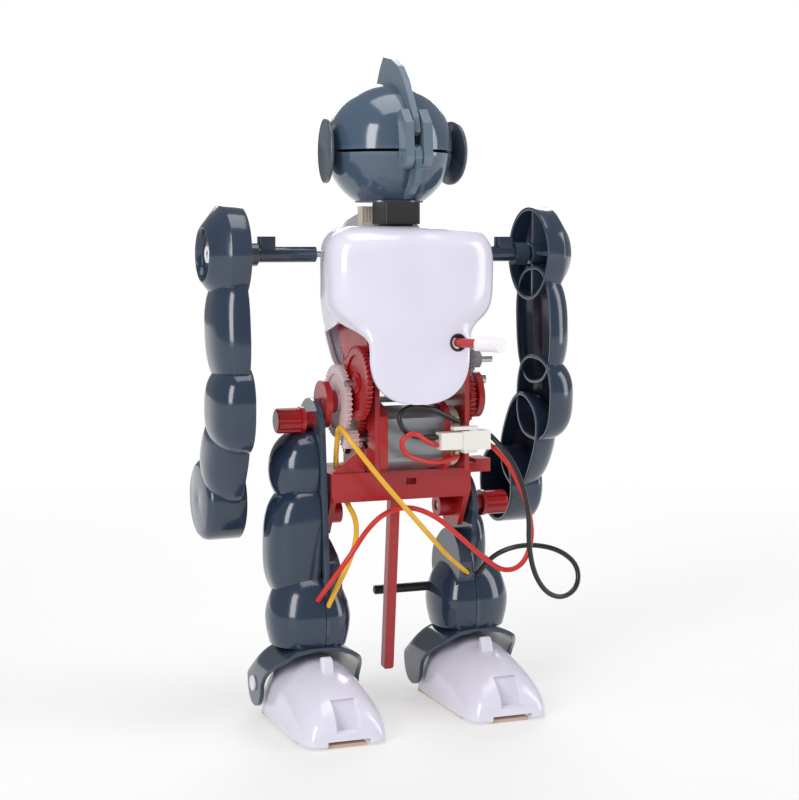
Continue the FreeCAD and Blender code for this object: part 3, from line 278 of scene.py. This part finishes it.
# A wire that crosses a leg's joint: the leg, and where its bending starts and ends
WIRE_ENDS = {
    "wire_red_leg": ("right_leg", (-6.0, -23.4, 67.0), (-27.0, -23.6, 46.6)),
    "wire_black_leg": ("left_leg", (41.0, -21.6, 52.8), (27.0, -9.4, 41.8)),
    "wire_yellow_right": ("right_leg", (-17.2, -9.0, 67.6), (-23.8, -19.0, 43.6)),
    "wire_yellow_left": ("left_leg", (-4.3, -26.4, 67.4), (23.8, -8.8, 42.6)),
}


def route_mesh(name, route, bevel):
    """The wire's NURBS line as a mesh: its centreline where bevel is 0, a closed tube otherwise."""
    curve = bpy.data.curves.new(name, "CURVE")
    curve.dimensions = "3D"
    curve.resolution_u = 14
    curve.bevel_depth = bevel
    curve.bevel_resolution = 5
    curve.use_fill_caps = bevel > 0
    spline = curve.splines.new("NURBS")
    spline.points.add(len(route) - 1)
    for point, spot in zip(spline.points, route):
        point.co = (*at(*spot), 1.0)
    spline.order_u = 3
    spline.use_endpoint_u = True
    holder = bpy.data.objects.new(name, curve)
    bpy.context.collection.objects.link(holder)
    bpy.context.view_layer.update()
    mesh = bpy.data.meshes.new_from_object(holder.evaluated_get(bpy.context.evaluated_depsgraph_get()))
    bpy.data.objects.remove(holder)
    bpy.data.curves.remove(curve)
    return mesh


for name, route in WIRES.items():
    line = route_mesh(name, route, 0.0)
    tube = route_mesh(name, route, WIRE_D / 2)
    for face in tube.polygons:
        face.use_smooth = True
    wire = bpy.data.objects.new(name + "_round", tube)
    bpy.context.collection.objects.link(wire)
    slot = slots[name]
    tube.materials.clear()
    tube.materials.append(MATERIALS[slot])
    if name in WIRE_ENDS:
        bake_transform(wire)
    else:
        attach(wire, "torso")
    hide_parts(name)


# ---- smooth shells -------------------------------------------------------------------------------
def smooth_piece(name, points, faces, slot, body, wall=0.0, round_edges=0.0):
    """A smooth mesh piece on a body, given a wall towards its inside."""
    mesh = bpy.data.meshes.new(name)
    mesh.from_pydata([at(*p) for p in points], [], faces)
    work = bmesh.new()
    work.from_mesh(mesh)
    bmesh.ops.remove_doubles(work, verts=work.verts, dist=1e-6)
    bmesh.ops.recalc_face_normals(work, faces=work.faces)
    work.to_mesh(mesh)
    work.free()
    thing = bpy.data.objects.new(name, mesh)
    bpy.context.collection.objects.link(thing)
    for face in mesh.polygons:
        face.use_smooth = True
    if wall:
        thick = thing.modifiers.new("wall", "SOLIDIFY")
        thick.thickness = wall * MM
        thick.offset = -1.0
        thick.use_even_offset = False
    if round_edges:
        soft = thing.modifiers.new("edges", "BEVEL")
        soft.width = round_edges * MM
        soft.segments = 3
        soft.limit_method = "ANGLE"
        soft.angle_limit = math.radians(40)
    mesh.materials.append(MATERIALS[slot])
    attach(thing, body)
    return thing


def between(table, t):
    """A smooth value at t from a list of (t, value) with t rising."""
    if t <= table[0][0]:
        return table[0][1]
    for k in range(len(table) - 1):
        t0, v0 = table[k]
        t1, v1 = table[k + 1]
        if t <= t1:
            before = table[k - 1] if k else (t0 - (t1 - t0), v0)
            after = table[k + 2] if k + 2 < len(table) else (t1 + (t1 - t0), v1)
            m0 = (v1 - before[1]) / (t1 - before[0]) * (t1 - t0)
            m1 = (after[1] - v0) / (after[0] - t0) * (t1 - t0)
            h = (t - t0) / (t1 - t0)
            return ((2 * h**3 - 3 * h**2 + 1) * v0 + (h**3 - 2 * h**2 + h) * m0
                    + (3 * h**2 - 2 * h**3) * v1 + (h**3 - h**2) * m1)
    return table[-1][1]


def power(value, n):
    return math.copysign(abs(value) ** (2.0 / n), value)


def ring_faces(rings, around):
    """Faces that join closed rings of points, one ring after another."""
    return [(r * around + k, r * around + (k + 1) % around, (r + 1) * around + (k + 1) % around,
             (r + 1) * around + k) for r in range(rings - 1) for k in range(around)]


def disc_faces(around):
    """A short solid of two rings: both flat ends, then its side."""
    side = [(k, (k + 1) % around, around + (k + 1) % around, around + k) for k in range(around)]
    return [tuple(range(around)), tuple(range(2 * around - 1, around - 1, -1))] + side


# A box's faces, from its four low corners and the four above them
BOX_FACES = [(0, 1, 2, 3), (7, 6, 5, 4), (0, 4, 5, 1), (1, 5, 6, 2), (2, 6, 7, 3), (3, 7, 4, 0)]


def grid_faces(rows, columns):
    return [(r * columns + c, r * columns + c + 1, (r + 1) * columns + c + 1, (r + 1) * columns + c)
            for r in range(rows - 1) for c in range(columns - 1)]


# The chest's half width by height, and the height where its top turns back over the shoulders
CHEST_WIDTH = [(99.0, 2.6), (99.4, 5.6), (100.6, 9.2), (103.0, 12.4), (106.5, 14.8), (111.0, 15.9), (116.0, 16.1),
               (119.0, 16.7), (121.0, 18.4), (123.0, 21.4), (126.0, 24.8), (129.5, 26.5), (136.0, 26.9),
               (143.0, 26.9), (147.0, 26.0), (150.0, 24.0), (151.8, 21.4), (152.5, 19.0)]
CHEST_TURN, CHEST_TOP, CHEST_SPLIT, CHEST_FRONT, APRON_BACK = 144.0, 152.5, -16.5, -29.0, -26.6
CHEST_COLUMNS = 61


def shell_rows(low, steps):
    """Rows of (height, reach): the low ones as given, even steps to the turn, then over to the top."""
    rows = [(z, 1.0) for z in low]
    rows += [(low[-1] + (CHEST_TURN - low[-1]) * k / steps, 1.0) for k in range(1, steps + 1)]
    for k in range(1, 17):
        turn = k / 16 * math.pi / 2
        rows.append((CHEST_TURN + (CHEST_TOP - CHEST_TURN) * math.sin(turn) ** 0.8, math.cos(turn) ** 0.8))
    return rows


def apron_share(z, start):
    """How far a row belongs to the narrow apron: 0 above start, 1 from 6 mm below it."""
    share = min(1.0, max(0.0, (start - z) / 6.0))
    return share * share * (3 - 2 * share)


chest_rows = shell_rows([99.0, 99.12, 99.4, 99.9, 100.8], 44)
points = []
for z, out in chest_rows:
    half = between(CHEST_WIDTH, z)
    apron = apron_share(z, 123.5)
    rim = CHEST_SPLIT + (APRON_BACK - CHEST_SPLIT) * apron
    square = 3.0 + 2.2 * apron
    lean = 0.5 * max(0.0, (112.0 - z) / 13.0) ** 2
    for k in range(CHEST_COLUMNS):
        turn = (k / (CHEST_COLUMNS - 1) - 0.5) * math.pi
        x = half * power(math.sin(turn), square)
        depth = (CHEST_FRONT + lean) * out + CHEST_SPLIT * (1 - out)
        y = rim + (depth - rim) * power(abs(math.cos(turn)), square)
        dip = 1.3 * math.exp(-((x / 4.0) ** 2)) * math.exp(-(((z - 141.0) / 9.0) ** 2))
        dip += 1.1 * math.exp(-(((abs(x) - 25.0) / 6.0) ** 2)) * math.exp(-(((z - 126.0) / 6.0) ** 2))
        points.append((x, y + dip * abs(math.cos(turn)), z))
chest = smooth_piece("chest_smooth", points, grid_faces(len(chest_rows), CHEST_COLUMNS), "white_shell", "torso",
                     wall=1.3, round_edges=0.35)
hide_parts("chest_front_shell")

# The back shell is narrower and starts higher, and its rim spreads to meet the chest. A collar
# stands behind the neck
BACK_WIDTH = [(103.0, 3.0), (103.4, 6.4), (105.0, 9.6), (109.0, 13.0), (115.0, 15.0), (120.0, 16.6), (123.0, 19.6),
              (126.0, 20.4), (130.0, 20.8), (136.0, 20.8), (143.0, 20.8), (147.0, 20.4), (150.0, 19.6),
              (151.8, 18.4), (152.5, 17.0)]
BACK_REAR, BACK_APRON_RIM = 16.8, 13.6
BACK_SQUARE = 4.6
points = []
back_rows = shell_rows([103.0, 103.15, 103.5, 104.1], 40)
for z, out in back_rows:
    half = between(BACK_WIDTH, z)
    apron = apron_share(z, 124.5)
    rim = CHEST_SPLIT + 0.3 + (BACK_APRON_RIM - CHEST_SPLIT) * apron
    for k in range(CHEST_COLUMNS):
        turn = (k / (CHEST_COLUMNS - 1) - 0.5) * math.pi
        at_rim = k in (0, CHEST_COLUMNS - 1)
        wide = max(half, between(CHEST_WIDTH, z) - 0.4) if at_rim and apron < 0.5 else half
        depth = BACK_REAR * out + (CHEST_SPLIT + 9.0) * (1 - out)
        y = rim + (depth - rim) * power(abs(math.cos(turn)), BACK_SQUARE)
        points.append((wide * power(math.sin(turn), BACK_SQUARE), y, z))
back = smooth_piece("chest_back_smooth", points, grid_faces(len(back_rows), CHEST_COLUMNS), "white_shell", "torso",
                    wall=1.2, round_edges=0.3)
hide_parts("chest_back_shell")
points = []
for k in range(41):
    turn = (k / 40 - 0.5) * math.pi
    x, top = 13.5 * math.sin(turn), 149.0 + 9.0 * power(math.cos(turn), 2.6)
    points += [(x, 5.0 + 3.2 * math.cos(turn), 148.0 + 0.2 * r * (top - 148.0)) for r in range(6)]
smooth_piece("chest_collar", points, grid_faces(41, 6), "white_shell", "torso", wall=1.1, round_edges=0.3)

HOLE = (11.6, -28.9, 117.5)          # the trigger's hole in the chest
RING_R, RING_WIRE = 2.35, 0.42       # the ring round it
points, faces = [], []
for n in range(48):
    turn = n / 48 * 2 * math.pi
    for m in range(12):
        roll = m / 12 * 2 * math.pi
        reach_out = RING_R + RING_WIRE * math.cos(roll)
        points.append((HOLE[0] + reach_out * math.cos(turn), HOLE[1] + RING_WIRE * math.sin(roll),
                       HOLE[2] + reach_out * math.sin(turn)))
        faces.append((n * 12 + m, n * 12 + (m + 1) % 12, (n + 1) % 48 * 12 + (m + 1) % 12, (n + 1) % 48 * 12 + m))
smooth_piece("trigger_collar", points, faces, "black_plastic", "torso")
points = [(HOLE[0] + r * math.cos(n * math.pi / 24), HOLE[1] + dy, HOLE[2] + r * math.sin(n * math.pi / 24))
          for r, dy in ((2.3, 0.0), (2.3, 0.5)) for n in range(48)]
smooth_piece("trigger_hole_face", points, disc_faces(48), "black_plastic", "torso", round_edges=0.1)


# ---- feet and ankle yokes ------------------------------------------------------------------------
FOOT_X, ANKLE_Z, STRIDE = 28.0, 10.5, 3.5
# Along the foot, from the toe to the heel: half width and height
FOOT_WIDTH = [(-38.0, 8.6), (-37.4, 10.4), (-36.0, 12.0), (-33.0, 13.1), (-27.0, 13.8), (-14.0, 13.9), (-2.0, 13.8),
              (6.0, 13.2), (11.0, 11.8), (14.0, 9.8), (15.5, 7.0)]
FOOT_TOP = [(-38.0, 4.4), (-37.4, 6.6), (-36.0, 9.2), (-33.0, 12.4), (-28.0, 15.2), (-22.0, 17.4), (-15.0, 19.2),
            (-8.0, 20.6), (0.0, 20.8), (6.0, 18.4), (11.0, 13.6), (14.0, 9.6), (15.5, 6.0)]
FOOT_BASE = 1.0


def solid_box(name, corners):
    """A scratch solid for a boolean cut, from its eight corners."""
    mesh = bpy.data.meshes.new(name)
    mesh.from_pydata([at(*c) for c in corners], [], BOX_FACES)
    work = bmesh.new()
    work.from_mesh(mesh)
    bmesh.ops.recalc_face_normals(work, faces=work.faces)
    work.to_mesh(mesh)
    work.free()
    thing = bpy.data.objects.new(name, mesh)
    bpy.context.collection.objects.link(thing)
    return thing


def corners(x0, x1, y0, y1, z0, z1, lean=0.0):
    """The corners of a box whose top leans back by lean."""
    return [(x0, y0, z0), (x1, y0, z0), (x1, y1, z0), (x0, y1, z0),
            (x0, y0 + lean, z1), (x1, y0 + lean, z1), (x1, y1 + lean, z1), (x0, y1 + lean, z1)]


def cut_away(thing, cutters):
    """thing with the cutters taken out of it, as a plain mesh."""
    for cutter in cutters:
        step = thing.modifiers.new("cut", "BOOLEAN")
        step.operation = "DIFFERENCE"
        step.solver = "EXACT"
        step.object = cutter
    bpy.context.view_layer.update()
    result = bpy.data.meshes.new_from_object(thing.evaluated_get(bpy.context.evaluated_depsgraph_get()))
    thing.modifiers.clear()
    thing.data = result
    for cutter in cutters:
        bpy.data.objects.remove(cutter)
    for face in result.polygons:
        face.use_smooth = True
    soft = thing.modifiers.new("edges", "BEVEL")
    soft.width = 0.3 * MM
    soft.segments = 3
    soft.limit_method = "ANGLE"
    soft.angle_limit = math.radians(38)


def foot(side, hand, dy):
    """A domed white shoe with a window in its toe, a fin before the ankle and a notched toe."""
    ROWS, ACROSS = 64, 41
    points = []
    for r in range(ROWS):
        along = (1 - math.cos(r / (ROWS - 1) * math.pi)) / 2
        y = -38.0 + 53.5 * (0.55 * along + 0.45 * r / (ROWS - 1))
        half, top = between(FOOT_WIDTH, y), between(FOOT_TOP, y)
        for k in range(ACROSS):
            turn = (k / (ACROSS - 1) - 0.5) * math.pi
            points.append((hand * (FOOT_X + half * power(math.sin(turn), 2.35)), y + dy,
                           FOOT_BASE + (top - FOOT_BASE) * power(abs(math.cos(turn)), 2.2)))
    faces = grid_faces(ROWS, ACROSS)
    faces += [tuple(range(ACROSS)), tuple(range((ROWS - 1) * ACROSS, ROWS * ACROSS))]
    under = [r * ACROSS for r in range(ROWS)] + [r * ACROSS + ACROSS - 1 for r in range(ROWS - 1, -1, -1)]
    faces.append(tuple(under))
    shoe = smooth_piece("foot_smooth_" + side, points, faces, "white_shell", side + "_foot")
    x = hand * FOOT_X
    cut_away(shoe, [
        solid_box("window", corners(x - 3.8, x + 3.8, -44.0 + dy, -34.6 + dy, 4.6, 13.2, 3.8)),
        solid_box("notch", corners(x - 6.6, x + 6.6, -44.0 + dy, -31.0 + dy, 0.0, 2.3)),
        solid_box("heel_line", corners(x - 20.0, x + 20.0, 7.0 + dy, 7.35 + dy, 0.0, 2.6))])
    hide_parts("foot_" + side)
    fin = [(x + s, y + dy, z) for s in (-1.9, 1.9)
           for y, z in ((-19.8, 16.6), (-18.4, 21.2), (-17.4, 22.4), (-15.8, 22.4), (-15.6, 16.0))]
    smooth_piece("foot_fin_" + side, fin, disc_faces(5), "white_shell", side + "_foot", round_edges=0.7)
    boss = [(hand * (44.1 + dx), 5.5 + dy + r * math.cos(n * math.pi / 16), ANKLE_Z + r * math.sin(n * math.pi / 16))
            for r, dx in ((2.4, 0.0), (2.4, 0.95)) for n in range(32)]
    smooth_piece("foot_boss_" + side, boss, disc_faces(32), "white_shell", side + "_foot", round_edges=0.3)


def yoke(side, hand, dy):
    """A thin arch over the ankle, with a lobe down each side to its pin."""
    ankle_y = 5.5 + dy
    AROUND, LONG = 73, 17
    HALF, RISE = 16.2, 13.8              # half width, and height over the pin
    points = []
    for k in range(AROUND):
        turn = (k / (AROUND - 1) - 0.5) * math.radians(262)
        if abs(turn) < math.pi / 2:
            side_x = HALF * power(math.sin(turn), 2.7)
            high = ANKLE_Z + RISE * power(math.cos(turn), 2.5)
            low = 0.0
        else:
            side_x = math.copysign(HALF, turn)
            low = (abs(turn) - math.pi / 2) / math.radians(41)
            high = ANKLE_Z - 7.2 * low
        rise = max(0.0, high - ANKLE_Z) / RISE
        lobe = 7.0 * math.sqrt(max(0.0, 1 - low * low))
        front = ankle_y - lobe - 11.8 * min(1.0, rise * 1.25) ** 1.5
        back = ankle_y + lobe + 2.4 * rise
        for m in range(LONG):
            y = front + (back - front) * m / (LONG - 1)
            rear_drop = 10.0 * rise * max(0.0, (y - ankle_y + 2.0) / 11.4) ** 2
            points.append((hand * (FOOT_X + side_x), y, high - rear_drop))
    arch = smooth_piece("ankle_arch_" + side, points, grid_faces(AROUND, LONG), "navy_shell", side + "_leg",
                        wall=1.3, round_edges=0.3)
    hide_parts("ankle_yoke_" + side)


for side, hand, dy in (("left", 1, STRIDE), ("right", -1, -STRIDE)):
    foot(side, hand, dy)
    yoke(side, hand, dy)


# ---- arms ----------------------------------------------------------------------------------------
SHOULDER_AT, ELBOW_AT, HAND_AT = (0.0, 144.0), (-4.8, 97.6), (17.0, 67.0)


def lobe(centre, heading, length, radius, x_in, x_out, soft, oval):
    """Points and faces of half a bulging pod: open at x_in and domed to x_out, its long way heading down."""
    RINGS, AROUND = 22, 64
    points = []
    along = (math.sin(heading), -math.cos(heading))
    across = (math.cos(heading), math.sin(heading))
    for r in range(RINGS):
        lift = r / (RINGS - 1) * math.pi / 2
        out = power(math.cos(lift), soft)
        x = x_in + (x_out - x_in) * power(math.sin(lift), soft)
        for k in range(AROUND):
            turn = k / AROUND * 2 * math.pi
            q, s = length * out * power(math.cos(turn), oval), radius * out * power(math.sin(turn), oval)
            points.append((x, centre[0] + q * along[0] + s * across[0], centre[1] + q * along[1] + s * across[1]))
    return points, ring_faces(RINGS, AROUND)


def turned(centre, profile, around=72):
    """Points and faces of a profile of (x, radius) turned about an axis along X."""
    points = [(x, centre[0] + r * math.cos(k * 2 * math.pi / around),
               centre[1] + r * math.sin(k * 2 * math.pi / around))
              for x, r in profile for k in range(around)]
    return points, ring_faces(len(profile), around)


def arm_piece(name, side, hand, shape, slot, wall, edges):
    """A piece of one arm, from the points and faces of the left one: hand is -1 for the right arm."""
    points, faces = shape
    return smooth_piece(name + "_" + side, [(hand * x, y, z) for x, y, z in points], faces, slot, "arms",
                        wall=wall, round_edges=edges)


for side, hand in (("left", 1), ("right", -1)):
    shell = arm_piece("arm_shoulder", side, hand, turned(SHOULDER_AT, [
        (48.5, 15.0), (54.2, 15.0), (54.9, 14.7), (59.4, 9.2), (59.9, 8.5), (60.0, 8.1), (59.7, 7.8),
        (57.8, 7.6), (57.6, 0.01)]), "navy_shell", 1.2, 0.25)
    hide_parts("arm_" + side)
    arm_piece("arm_upper", side, hand, lobe((-2.6, 121.0), math.radians(-5), 19.0, 12.9, 49.3, 59.2, 2.5, 2.6),
              "navy_shell", 1.2, 0.25)
    arm_piece("arm_elbow", side, hand, lobe(ELBOW_AT, math.radians(4), 13.8, 12.9, 48.5, 60.0, 2.8, 2.6),
              "navy_shell", 1.2, 0.25)
    arm_piece("arm_fore", side, hand, lobe((5.4, 82.6), math.radians(30), 16.5, 12.0, 47.9, 58.9, 2.5, 2.5),
              "navy_shell", 1.2, 0.25)
    arm_piece("arm_hand", side, hand, turned(HAND_AT, [
        (45.1, 12.9), (54.8, 12.9), (56.2, 12.5), (57.2, 11.4), (57.5, 10.6), (57.5, 0.01)]),
              "navy_shell", 1.2, 0.25)
    arm_piece("arm_hub", side, hand, turned(SHOULDER_AT, [
        (48.8, 1.15), (48.8, 3.3), (49.0, 3.4), (56.5, 3.4)]), "navy_shell", 0.0, 0.0)
    arm_piece("arm_bolt_ring", side, hand, turned(SHOULDER_AT, [
        (57.7, 1.3), (58.5, 1.4), (58.6, 1.6), (58.6, 2.4), (58.5, 2.6), (57.7, 2.7)]), "cap_white", 0.0, 0.0)
    arm_piece("arm_bolt", side, hand, turned(SHOULDER_AT, [
        (57.7, 1.2), (58.3, 1.15), (58.45, 0.9), (58.45, 0.01)]), "steel", 0.0, 0.0)
    for label, (y0, y1, z0, z1) in (("up", (-0.6, 0.6, 130.4, 157.6)), ("flat", (-13.6, 13.6, 143.4, 144.6))):
        rib = corners(hand * 50.0, hand * 54.4, y0, y1, z0, z1)
        smooth_piece("arm_rib_" + label + "_" + side, rib, BOX_FACES, "navy_shell", "arms", round_edges=0.2)


# ---- ears and legs -------------------------------------------------------------------------------
EAR_AT = (-1.0, 175.6)
for side, hand in (("left", 1), ("right", -1)):
    ear_points, ear_faces = turned((0.0, 0.0), [
        (20.2, 0.01), (20.2, 9.5), (20.35, 9.9), (21.2, 9.9), (21.35, 9.5), (21.0, 8.6), (20.8, 0.01)])
    ear_turn = math.radians(7.0)
    placed = [(hand * (20.8 + (x - 20.8) * math.cos(ear_turn) - y * math.sin(ear_turn)),
               EAR_AT[0] + (x - 20.8) * math.sin(ear_turn) + y * math.cos(ear_turn), EAR_AT[1] + z)
              for x, y, z in ear_points]
    ear = smooth_piece("ear_thin_" + side, placed, ear_faces, "ear_shell", "torso")
    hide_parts("ear_discs")

LEG_SPLIT = 26.5


def leg_pods(side, hand, pods):
    """The rounded outer shell of a leg: pods one over another, open at the seam."""
    points, faces = [], []
    for pod in pods:
        more, sides = lobe(*pod)
        faces += [tuple(n + len(points) for n in face) for face in sides]
        points += [(hand * x, y, z) for x, y, z in more]
    shell = smooth_piece("leg_pods_" + side, points, faces, "navy_shell", side + "_leg", wall=1.1, round_edges=0.2)
    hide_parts("leg_" + side + "_outer_shell")


leg_pods("left", 1, [((1.2, 50.5), math.radians(0), 12.6, 9.6, LEG_SPLIT, 32.6, 2.6, 2.4)])
leg_pods("right", -1, [((0.0, 77.6), math.radians(0), 13.0, 10.8, LEG_SPLIT, 39.2, 2.2, 2.1),
                       ((-1.2, 54.0), math.radians(3), 19.6, 11.2, LEG_SPLIT, 41.2, 2.7, 3.2)])

# The knee: a bell over each ankle in two halves, with a dark seam between them
KNEE_SIZE = [(23.9, 11.5), (25.5, 11.9), (29.0, 12.6), (33.0, 12.8), (37.0, 12.0), (41.0, 10.4), (44.6, 7.6),
             (46.8, 4.2), (47.6, 0.1)]
KNEE_BASE, KNEE_TOP = 23.9, 47.6


def knee(side, hand, dy):
    """Both halves of the bell over an ankle."""
    middle_x, middle_y = 28.6, -0.6 + dy
    for label, x_sign in (("outer", 1), ("inner", -1)):
        points = []
        ROWS, AROUND = 40, 37
        for r in range(ROWS):
            z = KNEE_BASE + (KNEE_TOP - KNEE_BASE) * (1 - (1 - r / (ROWS - 1)) ** 1.6)
            size = between(KNEE_SIZE, z)
            for k in range(AROUND):
                turn = (k / (AROUND - 1) - 0.5) * math.pi
                x = middle_x - 2.0 + x_sign * (0.12 + (size + x_sign * 2.0) * power(math.cos(turn), 2.3))
                points.append((hand * x, middle_y + size * power(math.sin(turn), 2.3), z))
        smooth_piece("knee_" + label + "_" + side, points, grid_faces(ROWS, AROUND), "navy_shell", side + "_leg",
                     wall=1.0, round_edges=0.35)


knee("left", 1, STRIDE)
knee("right", -1, -STRIDE)
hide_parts("battery_left")
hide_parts("battery_right")


# ---- screws --------------------------------------------------------------------------------------
def screw(name, place, axis, way):
    """A cross-head screw's head, standing out of its seat along an axis, with its cross recess as painted shade."""
    shape, sides = turned((0.0, 0.0), [(-1.0, 1.0), (0.0, 1.0), (0.0, 1.9), (0.5, 1.9), (0.9, 1.7), (1.15, 1.2),
                                       (1.2, 0.01)], 40)

    def stand(out, aside, up):
        if axis == "x":
            return place[0] + way * out, place[1] + aside, place[2] + up
        return place[0] + aside, place[1] + way * out, place[2] + up

    head = smooth_piece(name, [stand(*p) for p in shape], sides, "steel", "torso")
    # Two thin black bars across the head's top: painted shade standing for the cross recess, which is not cut into
    # the head
    for label, dy, dz in (("a", 1.25, 0.25), ("b", 0.25, 1.25)):
        painted_recess = [stand(x, y, z) for x in (1.0, 1.24) for y, z in ((-dy, -dz), (dy, -dz), (dy, dz), (-dy, dz))]
        smooth_piece(name + "_slot_shade_" + label, painted_recess, BOX_FACES, "black_plastic", "torso")
    return head


PLATE_OUT_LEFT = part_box("gearbox_plate_left")[1][0] / MM
PLATE_OUT_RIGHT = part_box("gearbox_plate_right")[0][0] / MM
heads = [screw("screw_right", (PLATE_OUT_RIGHT, 6.5, 82.5), "x", -1)]
for n, (y, z) in enumerate(((6.5, 82.5), (6.5, 116.0), (3.5, 130.0))):
    screw("screw_left_" + str(n), (PLATE_OUT_LEFT, y, z), "x", 1)
for n, (x, z) in enumerate(((-9.5, 142.0), (9.5, 142.0), (-9.5, 128.5), (9.5, 128.5))):
    screw("screw_back_" + str(n), (x, 16.5, z), "y", 1)
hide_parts("body_screws")
